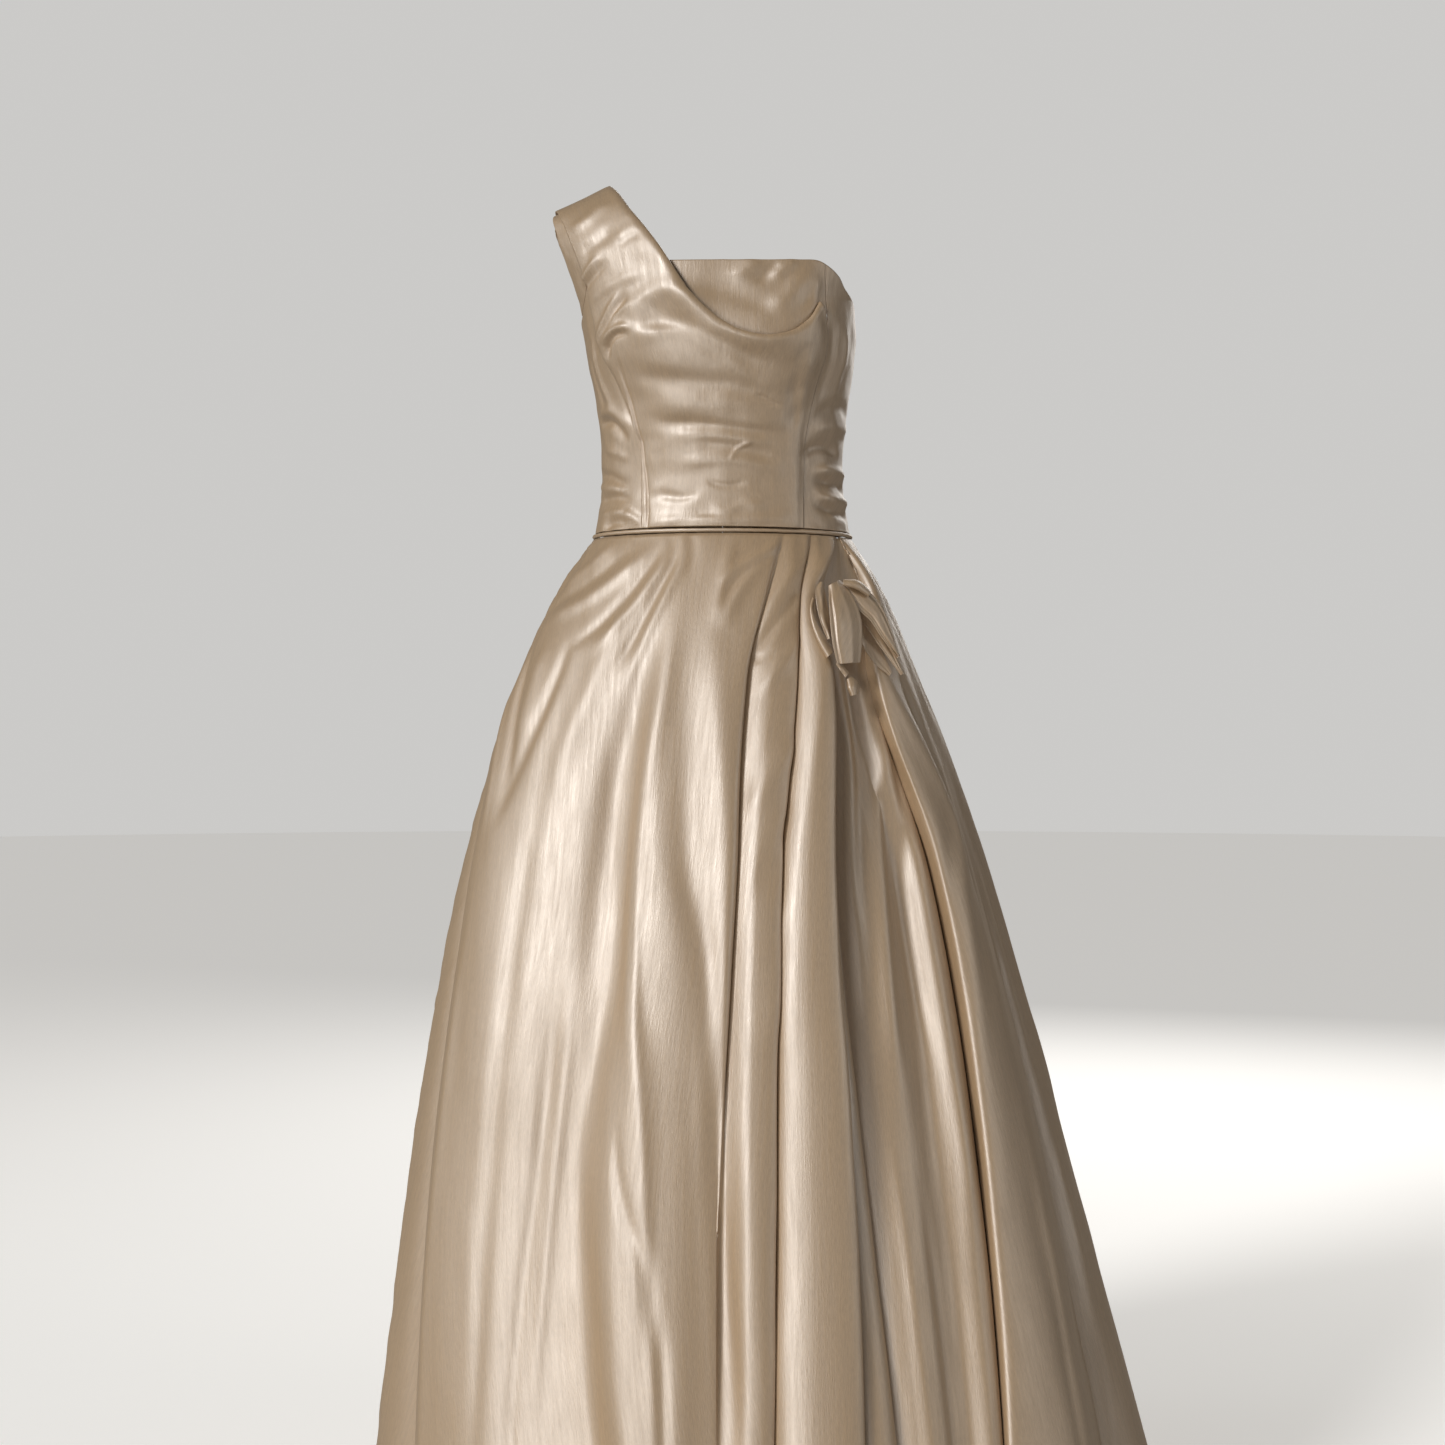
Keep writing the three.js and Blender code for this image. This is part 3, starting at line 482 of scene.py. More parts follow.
# Creases of the skirt, as height, half-width and a path of (angle, depth).
FRONT_FOLDS = [
    (3, 24, [(-42, 90), (-50, 218), (-51, 330), (-48, 480), (-48, 720), (-45, 980)]),
    (-3, 16, [(-22, 60), (-24, 326), (-22, 432), (-27, 608), (-22, 775), (-17, 1000)]),
    (4, 10, [(-12, 15), (-16, 177), (-18, 277), (-18, 432), (-15, 560), (-14, 860)]),
    (1.4, 2.4, [(-16, 240), (-17.5, 300), (-16, 460), (-13.7, 636), (-12.5, 770), (-10, 930)]),
    (-2.6, 5, [(-18.6, 560), (-17.6, 628), (-15.8, 668), (-13.3, 712), (-12, 800)]),
    (-3, 4.5, [(-11.5, 740), (-10.6, 800), (-10.2, 844), (-9, 960)]),
    (-4, 12, [(-6, 100), (-9, 212), (-9, 330), (-5, 430), (-2, 620), (1, 823), (3, 1060)]),
    (4, 14, [(-4, 40), (-2.5, 212), (-1, 332), (-2, 449), (-5, 640)]),
    (-4, 14, [(-20, 90), (-23, 169), (-26, 242), (-27, 360), (-26, 520)]),
    (3, 12, [(-33.5, 60), (-36.6, 150), (-40, 212), (-41, 320)]),
    (-2.4, 10, [(-46, 150), (-45, 240), (-44, 400), (-42, 700), (-38, 1050)]),
    (2.4, 9, [(-56, 330), (-54, 520), (-50, 800), (-44, 1080)]),
    (-2.2, 7, [(-33, 380), (-34, 600), (-34, 860), (-27, 1080)]),
    (2.2, 7, [(-30, 430), (-31, 640), (-31, 900)]),
    (3, 9, [(4, 560), (3.5, 760), (2.5, 1000)]),
    # gathers that fan out from the waist
    (2.6, 6, [(-19, 8), (-22, 32), (-31, 86), (-43, 135)]),
    (-2, 5, [(-25, 14), (-30, 50), (-40, 96), (-52, 130)]),
    (2.6, 6, [(-11, 8), (-14.7, 29), (-22, 97), (-28, 175)]),
    (-2, 5, [(-16, 16), (-20, 50), (-27, 110), (-33, 160)]),
    (2.8, 7, [(-28, 6), (-32, 25), (-50, 69), (-70, 97)]),
    (-2.2, 6, [(-38, 14), (-52, 48), (-66, 70), (-77, 84)]),
    (2.2, 6, [(-48, 6), (-60, 34), (-74, 56)]),
    (2.6, 4.5, [(28, 7), (15.3, 26), (5, 42), (-2, 60)]),
    (-2, 4, [(26, 16), (13, 36), (3, 60), (-2, 90)]),
    (2.4, 5.5, [(23, 19), (11, 42), (3, 75), (-1, 112)]),
    (2, 6, [(5, 6), (1, 40), (-3, 110)]),
    # folds at the right hip
    (-4, 6, [(-71, 100), (-63.2, 167), (-56, 240), (-54, 300)]),
    (-4, 6, [(-50, 100), (-50.5, 168), (-52.5, 240), (-54, 320)]),
    (3, 8, [(-60, 110), (-57, 170), (-55, 225)]),
    (2.4, 6, [(-77, 120), (-68, 190), (-60, 260), (-57, 330)]),
    # the strip between the first two pleats
    (2.4, 6, [(33, 24), (17.2, 74), (9.6, 125), (5.5, 160)]),
    (-2.2, 4.5, [(31, 48), (19.7, 87), (11.6, 119), (7, 150)]),
    (2.2, 5.5, [(25, 96), (16.5, 138), (9.6, 175)]),
    (-1.1, 2, [(7, 139), (11, 134), (16, 130)]),
    (2.4, 8, [(17.5, 205), (10.5, 251), (5.6, 300)]),
    (-2, 7, [(16, 270), (10, 320), (6, 380)]),
    (2, 7, [(13, 360), (9, 430), (6, 520)]),
]
INSET_FOLDS = [
    (4.5, 9, [(51, 140), (50.6, 168), (46, 243), (40.6, 304), (34.5, 440), (32, 600)]),
    (-3, 8, [(44, 110), (41, 200), (35, 300), (30, 420)]),
    (-3, 9, [(54, 200), (49, 280), (44, 380), (41, 560)]),
    (4, 9, [(52, 270), (49, 350), (47, 428), (45, 560), (42, 760)]),
    (2.4, 6, [(37, 120), (36, 220), (31, 330), (28, 520)]),
    (2, 6, [(30, 560), (29, 760), (28, 1000)]),
    (-2.4, 7, [(34, 620), (33, 820), (30, 1060)]),
]
SIDE_FOLDS = [
    (3.5, 8, [(67, 40), (54.5, 127), (57, 180), (61, 237), (64, 301), (60.5, 380), (55, 560)]),
    (-5, 8, [(66, 90), (62, 150), (64, 215), (68, 290), (68, 350), (64, 470)]),
    (3, 12, [(72, 60), (70, 160), (73, 270), (72, 420), (66, 640), (60, 900)]),
    (-2.5, 7, [(82, 20), (84, 110), (86, 230)]),
    (2.5, 7, [(89, 14), (92, 100), (93, 220)]),
    (-2.4, 8, [(58, 600), (55, 780), (51, 1040)]),
    (2.6, 10, [(78, 320), (76, 560), (72, 900)]),
]


def hidden_folds():
    """The same kinds of crease on the sides and the back, between their valleys."""
    draw = np.random.default_rng(41)
    rows = []
    for k in range(8, TURN):
        a, b = VALLEYS[k], VALLEYS[(k + 1) % TURN]
        turn = 360 if k + 1 == TURN else 0
        for share in (0.25, 0.5, 0.78):
            share += draw.uniform(-0.06, 0.06)
            start, end = draw.uniform(20, 240), draw.uniform(520, 1080)
            height = draw.choice([-1, 1]) * draw.uniform(1.6, 3)
            path = []
            for d in np.linspace(start, end, 5):
                low = through(DEPTHS, a[0], d)
                high = through(DEPTHS, b[0], d) + turn
                path.append((mix(low, high, share) + draw.uniform(-1, 1), d))
            rows.append((height, draw.uniform(6, 12), path))
        for _ in range(3):
            low, high = a[0][0], b[0][0] + turn
            foot = mix(low, high, draw.uniform(0.1, 0.9))
            drift = draw.uniform(-5, 5)
            length = draw.uniform(90, 200)
            path = [(foot, 6), (foot + 0.4 * drift, 0.5 * length), (foot + drift, length)]
            rows.append((draw.choice([-1, 1]) * draw.uniform(1.6, 2.6), draw.uniform(4, 7), path))
    return rows


def skirt_relief(angle, d, rows):
    """How far the cloth of the skirt stands off its form: creases, ripples and gathers.

    A ripple's numbers are the size of its cells across and down the cloth, and its seed.
    """
    run = np.radians(angle) * skirt_radius(d)
    hang = smooth(0, 70, d)
    relief = creases(rows, angle, d, skirt_radius)
    relief += 0.8 * hang * ripple(run, d, 30, 260, 3)
    relief += 0.2 * hang * ripple(run, d, 10, 150, 4)
    relief += 0.7 * smooth(0, 40, d) * ripple(run, d, 46, 90, 5)
    relief += 0.08 * ripple(run, d, 14, 24, 6)
    gather = np.exp(-d / 45) * smooth(0, 10, d)
    relief += 1.3 * gather * ripple(run, d, 9, 90, 7)
    return relief * bpy.context.scene.gown_sizes.creases


SEAM_FLAT = 12  # width beside a seam over which the creases die out
# Where the skirt is open its edges turn out: over this width, coming in between the first
# two depths and dying out between the last two.
OPEN_WIDE = 11
OPEN_START = (0, 40)
OPEN_END = (120, 330)


def skirt_panel(name, first, last, rows, top, creased, material, lip=(0, 0)):
    """A panel of the skirt from one valley to another, kept clear of its neighbours.

    lip says how far its left and right edges turn out where the skirt is open.
    """
    shares = []
    for k in range(first, last):
        count = FOLD_COLUMNS[k]
        s = np.arange(count) / count
        keen = 0.3 * (VALLEYS[k][2][1] + VALLEYS[(k + 1) % TURN][2][1])
        shares.extend(k + s - keen * np.sin(2 * math.pi * s) / (2 * math.pi))
    shares = np.array([*shares, last])
    fall = np.linspace(0, 1, rows + 1)
    depths = top + (HEM_DEPTH - top) * (0.55 * fall + 0.45 * fall**2)
    f, d = np.meshgrid(shares, depths, indexing="ij")
    wide = np.linalg.norm(np.diff(skirt(f, d)[0], axis=0), axis=-1)
    inset = SEAM_GAP / 2
    f[0] += inset / np.maximum(wide[0], 0.2) * (f[1] - f[0]) * 0.9
    f[-1] -= inset / np.maximum(wide[-1], 0.2) * (f[-1] - f[-2]) * 0.9
    f = np.clip(f, first, last)
    points, angle = skirt(f, d)
    start, end = points[:1], points[-1:]
    far = np.minimum(*(np.linalg.norm(points - edge, axis=-1) for edge in (start, end)))
    relief = skirt_relief(angle, d, creased) * smooth(0, SEAM_FLAT, far)
    points = points + normals(points) * relief[..., None]
    for side, edge in ((0, lip[0]), (-1, lip[1])):
        if edge:
            near = np.abs(points - points[side : side + 1 or None])
            far = np.linalg.norm(near, axis=-1)
            turn = np.exp(-((far / OPEN_WIDE) ** 2))
            turn = turn * smooth(*OPEN_START, d) * (1 - smooth(*OPEN_END, d))
            points = points + normals(points) * (edge * turn)[..., None]
    return add_piece(name, points, material, bpy.context.scene.gown_sizes.cloth)


# ---------- the bodice ----------

BODY_HEIGHTS = [0, 40, 85, 130, 180, 210, 245]
HALF_LEFT = [138, 131, 130, 134, 141, 143, 143]
HALF_RIGHT = [138, 131, 130, 134, 143, 148, 156]
BODY_FRONT = [99, 97, 101, 110, 120, 122, 119]
BODY_BACK = [93, 88, 89, 93, 98, 100, 102]
ARCH_LENGTH = ARCH_RISE * math.pi
SHOULDER = ARCH_FOOT + ARCH_LENGTH / 2
ARCH_SPREAD = 49
BODY_RADIUS = 120  # turns an angle on the bodice into a length across the cloth
BUST = {"angle": 42, "height": 192, "wide": 24, "tall": 42, "full": 8}


def body_half(z, side):
    right = through(BODY_HEIGHTS, HALF_RIGHT, z)
    return np.where(np.asarray(side) < 0, right, through(BODY_HEIGHTS, HALF_LEFT, z))


def arch_half(turn, side):
    return body_half(ARCH_FOOT, side) + ARCH_SPREAD * np.sin(turn)


def squareness(up):
    return through([0, 120, 190, ARCH_FOOT], [1, 1, 0.9, 0.8], up)


def bent(value, power):
    return np.sign(value) * np.abs(value) ** power


def form(angle, up, out=0.0):
    """A point of the worn form; past ARCH_FOOT, up is the way over the shoulder."""
    angle, up, out = np.broadcast_arrays(np.asarray(angle, float), up, out)
    power = squareness(up)
    s, c = bent(np.sin(np.radians(angle)), power), bent(np.cos(np.radians(angle)), power)
    turn = np.clip((up - ARCH_FOOT) / ARCH_RISE, 0, math.pi)
    front, back = (through(BODY_HEIGHTS, row, up) for row in (BODY_FRONT, BODY_BACK))
    low_x = s * (body_half(up, s) + out)
    low_y = -c * (np.where(c > 0, front, back) + out)
    x = s * (arch_half(turn, s) + out)
    deep = np.where(turn < math.pi / 2, BODY_FRONT[-1], BODY_BACK[-1]) + out
    fall = (np.abs(x) + STRAP_INNER) * SHOULDER_SLOPE * np.sin(turn) ** 2
    rise = (ARCH_RISE + out) * np.sin(turn) - fall
    down = np.maximum(0, up - ARCH_FOOT - ARCH_LENGTH)
    x = np.where(turn > 0, x, low_x)
    y = np.where(turn > 0, -c * deep * np.cos(turn), low_y)
    z = np.where(turn > 0, ARCH_FOOT + rise - down, up)
    facing = np.degrees(np.arctan2(x, -y))
    across = (np.abs(facing) - BUST["angle"]) / BUST["wide"]
    high = (z - BUST["height"]) / BUST["tall"]
    full = np.where(y < 0, BUST["full"] * np.exp(-(across**2) - high**2), 0)
    reach = np.maximum(np.hypot(x, y), 1e-6)
    return np.stack([x * (1 + full / reach), y * (1 + full / reach), z], axis=-1)


def up_at(z):
    over = np.clip((z - ARCH_FOOT) / ARCH_RISE, 0, 1)
    return np.where(z > ARCH_FOOT, ARCH_FOOT + ARCH_RISE * np.arcsin(over), z)


def angle_at(x, up):
    """The angle at which the form stands at x, at a way up the front."""
    x, up = np.asarray(x, float), np.asarray(up, float)
    turn = (up - ARCH_FOOT) / ARCH_RISE
    half = np.where(up > ARCH_FOOT, arch_half(turn, x), body_half(up, x))
    share = bent(np.clip(x / half, -1, 1), 1 / squareness(up))
    return np.degrees(np.arcsin(share))


def princess(z):
    """The angle of the wearer's left princess seam at a height."""
    return angle_at(through([0, 100, 190, 280], [84, 87, 103.5, 107], z), up_at(z))


def right_princess(z):
    return -princess(z)


def upright(angle):
    """A seam that runs straight up."""
    return lambda z: angle + 0 * z


EDGE_ANGLES = [
    -90, -78, -66, -56, -46, -34, 0, 26, 34, 40.5, 50, 59, 74, 90, 115, 180, 244, 256, 270,
]
EDGE_HEIGHTS = [
    UNDERARM, UNDERARM + 5, 244, 264, 278, 277, NECKLINE, 277, 278, 274, 265, 253, 245,
    240, BACK_TOP, BACK_TOP, BACK_TOP, 236, UNDERARM,
]


def edge_height(angle):
    return through(EDGE_ANGLES, EDGE_HEIGHTS, angle)


def on_front(rows):
    """Creases given at x and height on the front, as angle and height."""
    made = []
    for high, wide, path in rows:
        turned = [(float(angle_at(x, up_at(np.float64(z)))), z) for x, z in path]
        made.append((high, wide, turned))
    return made


# Creases of the bodice's front and sides, as height, half-width and a path of (x, z).
BODICE_CREASES = [
    # over the bust and under the cowl
    (4.5, 11, [(-100, 214), (-85, 225), (-70, 238), (-52, 243), (-32, 234), (-9, 214)]),
    (-6.5, 15, [(-96, 226), (-72, 219), (-48, 209), (-20, 193), (10, 176), (40, 167), (70, 165)]),
    (2.6, 8, [(-100, 204), (-72, 200), (-44, 199), (-9, 180), (17, 162), (40, 144)]),
    (-3.2, 11, [(-98, 178), (-72, 157), (-34, 150), (17, 144), (62, 118)]),
    (1.6, 11, [(-90, 126), (-34, 128), (30, 130), (66, 116)]),
    (-3, 7, [(-80, 112), (-21, 107), (30, 101), (76, 99)]),
    (1.5, 8, [(-66, 97), (-9, 96), (48, 91)]),
    (-2.4, 8, [(-38, 91), (17, 84), (62, 70)]),
    (2, 7, [(-54, 66), (7, 72), (68, 60)]),
    (-1.6, 4, [(-20, 52), (2, 45), (28, 49)]),
    (-1.4, 2.4, [(32, 139), (48, 131), (61, 126)]),
    (1.2, 2.4, [(6, 70), (17, 84), (34, 92)]),
    (-1.8, 5, [(-70, 40), (-44, 34), (-20, 38)]),
    (1.6, 5, [(-16, 24), (2, 19), (24, 26), (48, 22)]),
    (2.2, 6, [(-78, 12), (-34, 9), (17, 10), (80, 12)]),
    (-2, 7, [(70, 160), (74, 130), (70, 96)]),
    (2, 8, [(84, 190), (80, 150), (72, 116)]),
    # the dart inside the drape, and the tuck at its end
    (-3, 1.9, [(-106, 204), (-99, 163), (-92, 130), (-85.5, 101), (-80, 61), (-78, 2), (-77, -40)]),
    (-4, 3.4, [(-112, 176), (-110, 192), (-102, 201), (-88, 201)]),
    (3.4, 4.5, [(-114, 190), (-108, 203), (-96, 208), (-82, 206)]),
    # the strap
    (3, 4.5, [(-127, 190), (-113, 224), (-97, 252)]),
    (-2.6, 4, [(-118, 196), (-107, 222), (-92, 246)]),
    (2.6, 4, [(-120, 188), (-106, 219), (-86, 236)]),
    (2.4, 3.6, [(-147, 257), (-136, 272), (-124, 286)]),
    (-2, 4, [(-144, 250), (-130, 264), (-116, 280)]),
    (-0.8, 4, [(-106, 288), (-92, 296), (-78, 296)]),
    (0.8, 5, [(-108, 296), (-92, 304), (-80, 304)]),
    (2, 7, [(-140, 236), (-103, 255), (-68, 266)]),
    (-2, 7, [(-146, 286), (-126, 300), (-104, 312)]),
    (2, 7, [(-158, 318), (-138, 330), (-112, 346)]),
    # the wearer's right side
    (-4.6, 5, [(-131, 118), (-120, 118), (-110, 109), (-95, 91)]),
    (3, 6, [(-132, 128), (-118, 129), (-104, 116), (-94, 104)]),
    (-3.4, 5, [(-131, 68), (-118, 60), (-106, 53), (-94, 52)]),
    (3, 6, [(-131, 54), (-116, 48), (-98, 42)]),
    (-3, 4.5, [(-130, 36), (-112, 38), (-92, 31)]),
    (3, 5, [(-131, 20), (-114, 22), (-92, 20)]),
    (2.6, 4, [(-104, 20), (-92, 14), (-84, 5)]),
    (-2.6, 4, [(-128, 6), (-108, 11), (-96, 3)]),
    (-2.6, 4, [(-115, 180), (-103, 137), (-90, 102)]),
    (2.4, 4.5, [(-137, 214), (-129, 168), (-113, 122)]),
    (-2.2, 4.5, [(-141, 200), (-134, 160), (-122, 128)]),
    (2.6, 5, [(-126, 92), (-110, 84), (-96, 74)]),
    # the wearer's left side
    (-4, 6, [(80, 74), (94, 87), (106, 90), (124, 84)]),
    (4.5, 6, [(88, 62), (109, 66), (133, 62)]),
    (-4.6, 5, [(92, 52), (109, 54), (134, 48)]),
    (5, 6, [(92, 42), (109, 37), (136, 34)]),
    (-4.4, 5, [(92, 30), (110, 25), (136, 20)]),
    (3.6, 8, [(86, 98), (106, 110), (134, 112)]),
    (-3.4, 7, [(92, 118), (110, 130), (136, 134)]),
    (-2.4, 7, [(112, 226), (109, 180), (98, 124)]),
    (2, 7, [(126, 226), (124, 180), (112, 130)]),
    # under the neckline
    (2.2, 6, [(8, 252), (25, 266), (40, 276)]),
    (-2, 6, [(34, 250), (46, 262), (60, 274)]),
    (2.2, 6, [(48, 256), (63, 267), (80, 276)]),
    (3, 12, [(44, 218), (76, 247), (104, 268)]),
    (-2, 9, [(-30, 256), (0, 246), (34, 232), (60, 232)]),
    (2, 6, [(100, 264), (93, 236), (80, 212)]),
]
# Creases of the back, as height, half-width and a path of (angle, height).
BACK_CREASES = [
    (-3.4, 6, [(92, 54), (118, 47), (146, 50), (172, 44)]),
    (3, 7, [(96, 36), (130, 30), (170, 34)]),
    (-2.4, 5, [(110, 20), (140, 16), (174, 22)]),
    (2.6, 8, [(96, 88), (124, 80), (156, 86)]),
    (-2.4, 8, [(104, 118), (130, 106), (160, 112)]),
    (2.2, 9, [(112, 200), (126, 170), (134, 130)]),
    (-2.2, 8, [(138, 226), (146, 190), (150, 150)]),
    (-3.4, 6, [(268, 58), (242, 50), (214, 54), (186, 46)]),
    (3, 7, [(266, 38), (232, 32), (190, 38)]),
    (-2.4, 5, [(252, 22), (220, 17), (188, 24)]),
    (2.6, 8, [(264, 92), (236, 84), (204, 92)]),
    (-2.4, 8, [(256, 124), (230, 112), (200, 120)]),
    (3, 8, [(254, 214), (240, 186), (226, 140)]),
    (-2.4, 8, [(236, 236), (228, 200), (216, 160)]),
    (2, 9, [(206, 230), (202, 190), (204, 150)]),
]


def body_relief(angle, z):
    """How far the cloth of the bodice stands off the form: creases and ripples."""
    turned = np.where(angle > 200, angle - 360, angle)
    relief = creases(on_front(BODICE_CREASES), turned, z, lambda _: BODY_RADIUS)
    relief += creases(BACK_CREASES, angle, z, lambda _: BODY_RADIUS)
    run = np.radians(turned) * BODY_RADIUS
    relief += 0.7 * ripple(run, z, 34, 26, 11)
    relief += 0.4 * ripple(run, z, 13, 15, 12)
    relief += 0.7 * np.exp(-z / 40) * ripple(run, z, 16, 9, 13)
    return relief * bpy.context.scene.gown_sizes.creases


def seam_gap(at, z):
    """Half a seam's gap, as an angle; the form turns faster straight at its sides."""
    at_side = np.abs(np.cos(np.radians(at))) < 0.01
    share = SEAM_GAP / 2 / body_half(z, 1)
    return np.degrees(share ** np.where(at_side, 1 / squareness(z), 1))


def bodice_panel(name, left_at, right_at, grid, material):
    """A bodice panel between two seams, each given as angle by height."""
    us, vs = spaced(grid[0], edge=0.006), spaced(grid[1], edge=0.004)
    u, v = np.meshgrid(us, vs, indexing="ij")
    z = np.full(u.shape, float(BODICE_FOOT))
    for _ in range(6):
        left, right = left_at(z), right_at(z)
        angle = mix(left + seam_gap(left, z), right - seam_gap(right, z), u)
        z = mix(edge_height(angle), BODICE_FOOT, v)
    out = -FRONT_TUCK * tucked(angle, z) if name == "bodice_front" else 0
    points = form(angle, up_at(z), out)
    points = points + normals(points) * body_relief(angle, z)[..., None]
    return add_piece(name, points, material, bpy.context.scene.gown_sizes.cloth)


# ---------- the drape and strap ----------


def edge_path(points):
    return [(float(angle_at(x, up)), up) for x, up in points]


def outer_edge():
    return edge_path([
        (-83.8, 3), (-84.2, 45), (-86.2, 92), (-98, 132), (-112, 168), (-125, 205),
        (-135, 240), (-145, 274), (-158, 315), (-168, 358), (-174, 400),
        (STRAP_OUTER, SHOULDER - SHOULDER_GAP / 2),
    ])  # fmt: skip


def seam_edge():
    return edge_path([
        (83.8, 3), (84.2, 45), (86, 90), (92.4, 135), (101.4, 180), (103.6, 214), (97, 236),
    ])  # fmt: skip


def cowl_edge():
    return edge_path([
        (97, 236), (82, 215), (63, 201), (40, 196), (14, 202), (-12, 221), (-37, 250),
        (-60, 284), (-78, 310), (-93, 335), (-106, 370), (-114, 405),
        (STRAP_INNER, SHOULDER - SHOULDER_GAP / 2),
    ])  # fmt: skip


SHOULDER_GAP = 0.3  # space between the drape and the strap's back at the shoulder seam
SHOULDER_SHARE = 0.12  # share of the drape's upper edge that lies at the shoulder seam
COWL = {"at": 2, "wide": 58, "out": 14, "reach": 34}
COWL_START = (110, 70)  # the cowl's stand comes in between these lengths across
COWL_ROLL = 7  # width of the cloth that turns in at the cowl's edge
TUCK = 9  # width over which the drape sinks into the seams at its sides
TUCK_TOP = (232, 212)  # that sinking comes in between these heights
DRAPE_TUCK = LAYER + 1.2  # how far the drape sinks there
FRONT_TUCK = 4  # how far the panel under it sinks at the same seams
SHOULDER_FLAT = 24  # length beside the shoulder seam over which the creases die out


def span(edge, share):
    return mix(np.asarray(edge[0], float), np.asarray(edge[-1], float), share[..., None])


def drape_points(u, v):
    """Angle and up of the drape, spanned between its four edges.

    They are the waist below, the armhole edge, the seam edge, and above them the
    shoulder seam with the strap's inner edge and the cowl.
    """
    r = 1 - v
    outer, seam, cowl = outer_edge(), seam_edge(), cowl_edge()
    foot = span([outer[0], seam[0]], u)
    past = (u - SHOULDER_SHARE) / (1 - SHOULDER_SHARE)
    at_shoulder = span([outer[-1], cowl[-1]], u / SHOULDER_SHARE)
    upper = np.where((past > 0)[..., None], curve_point(cowl, 1 - past), at_shoulder)
    sides = mix(curve_point(outer, r), curve_point(seam, r), u[..., None])
    corners = mix(foot, span([outer[-1], seam[-1]], u), r[..., None])
    p = mix(foot, upper, r[..., None]) + sides - corners
    return p[..., 0], p[..., 1]


def on_cloth(edge):
    """An edge of the drape as a line of lengths across and up the unrolled form."""
    line = curve_point(edge, np.linspace(0, 1, 90))
    line[:, 0] = np.radians(line[:, 0]) * BODY_RADIUS
    return line


def height_of(up):
    """The height on the front at a way up the form, for reading the creases."""
    turn = np.clip((up - ARCH_FOOT) / ARCH_RISE, 0, math.pi / 2)
    return np.where(up > ARCH_FOOT, ARCH_FOOT + ARCH_RISE * np.sin(turn), up)


def tucked(angle, up):
    """How near a point is to the seams that hold the drape's sides, from 0 to 1."""
    run = np.radians(angle) * BODY_RADIUS
    held = [p for p in outer_edge() if p[1] < 100]
    edges = on_cloth(seam_edge()), on_cloth(held)
    far = np.minimum(*(nearest(edge, run, up)[0] for edge in edges))
    return np.exp(-((far / TUCK) ** 2)) * smooth(*TUCK_TOP, up)


def make_drape(material):
    u, v = np.meshgrid(spaced(190, edge=0.004), spaced(210, edge=0.003), indexing="ij")
    angle, up = drape_points(u, v)
    run = np.radians(angle) * BODY_RADIUS
    far, share = nearest(on_cloth(cowl_edge()), run, up)
    stand = np.exp(-(((run - COWL["at"]) / COWL["wide"]) ** 2)) * smooth(*COWL_START, run)
    out = CLOTH + LAYER + COWL["out"] * stand * np.exp(-((far / COWL["reach"]) ** 2))
    out = out - DRAPE_TUCK * tucked(angle, up)
    points = form(angle, up, out)
    facing = normals(points)
    relief = body_relief(angle, height_of(up)) * smooth(SHOULDER, SHOULDER - SHOULDER_FLAT, up)
    points = points + facing * relief[..., None]
    # the cowl's edge and the strap's edges turn in
    turn = np.clip(1 - far / COWL_ROLL, 0, 1)
    drop = COWL_ROLL * 0.75 * (1 - np.sqrt(1 - turn**2)) * (1 - smooth(0.86, 0.97, share))
    points = points - facing * drop[..., None]
    mesh = cloth_mesh("bodice_drape", points, run, up)
    return add_piece("bodice_drape", mesh, material, bpy.context.scene.gown_sizes.cloth)


def make_strap_back(material):
    u, v = np.meshgrid(spaced(44, edge=0.01), spaced(110, edge=0.005), indexing="ij")
    up = mix(SHOULDER + SHOULDER_GAP / 2, ARCH_FOOT + ARCH_LENGTH + 18, 1 - v)
    ease = smooth(0, 1, 1 - v)
    angle = mix(mix(-56, -69, ease), mix(-30, -36, ease), u)
    points = form(angle, up, CLOTH + LAYER)
    run = (u - 0.5) * 60
    relief = 0.8 * ripple(run, up, 22, 34, 21) + 0.4 * ripple(run, up, 9, 14, 22)
    # one long slanting crease down the back of the strap
    relief += 1.6 * np.exp(-(((run - 0.12 * (up - 520)) / 5) ** 2)) * smooth(460, 520, up)
    relief *= smooth(SHOULDER, SHOULDER + SHOULDER_FLAT, up)
    points = points + normals(points) * relief[..., None]
    return add_piece("strap_back", points, material, bpy.context.scene.gown_sizes.cloth)


def make_strap_under(material):
    u, v = np.meshgrid(spaced(40, edge=0.01), spaced(150, edge=0.004), indexing="ij")
    r = 1 - v
    shares = [0, 0.12, 0.3, 0.5, 0.75, 1]
    outer = through(shares, [-76, -72, -65, -58.5, -67, -72], r)
    inner = through(shares, [-48, -44, -37, -32, -35, -38], r)
    angle = mix(outer, inner, u)
    start = up_at(edge_height(mix(-76, -48, u)) + LOOSE_GAP)
    end = ARCH_FOOT + ARCH_LENGTH + ARCH_FOOT - edge_height(180 - angle) - LOOSE_GAP
    up = mix(start, end, r)
    points = form(angle, up)
    front = 1 - smooth(SHOULDER - 60, SHOULDER, up)
    relief = body_relief(angle, height_of(up)) * front
    relief -= 0.9 * np.abs(ripple((u - 0.5) * 60, up, 18, 12, 23)) * (1 - front)
    points = points + normals(points) * relief[..., None]
    return add_piece("strap_under", points, material, bpy.context.scene.gown_sizes.cloth)


# ---------- the waist ----------

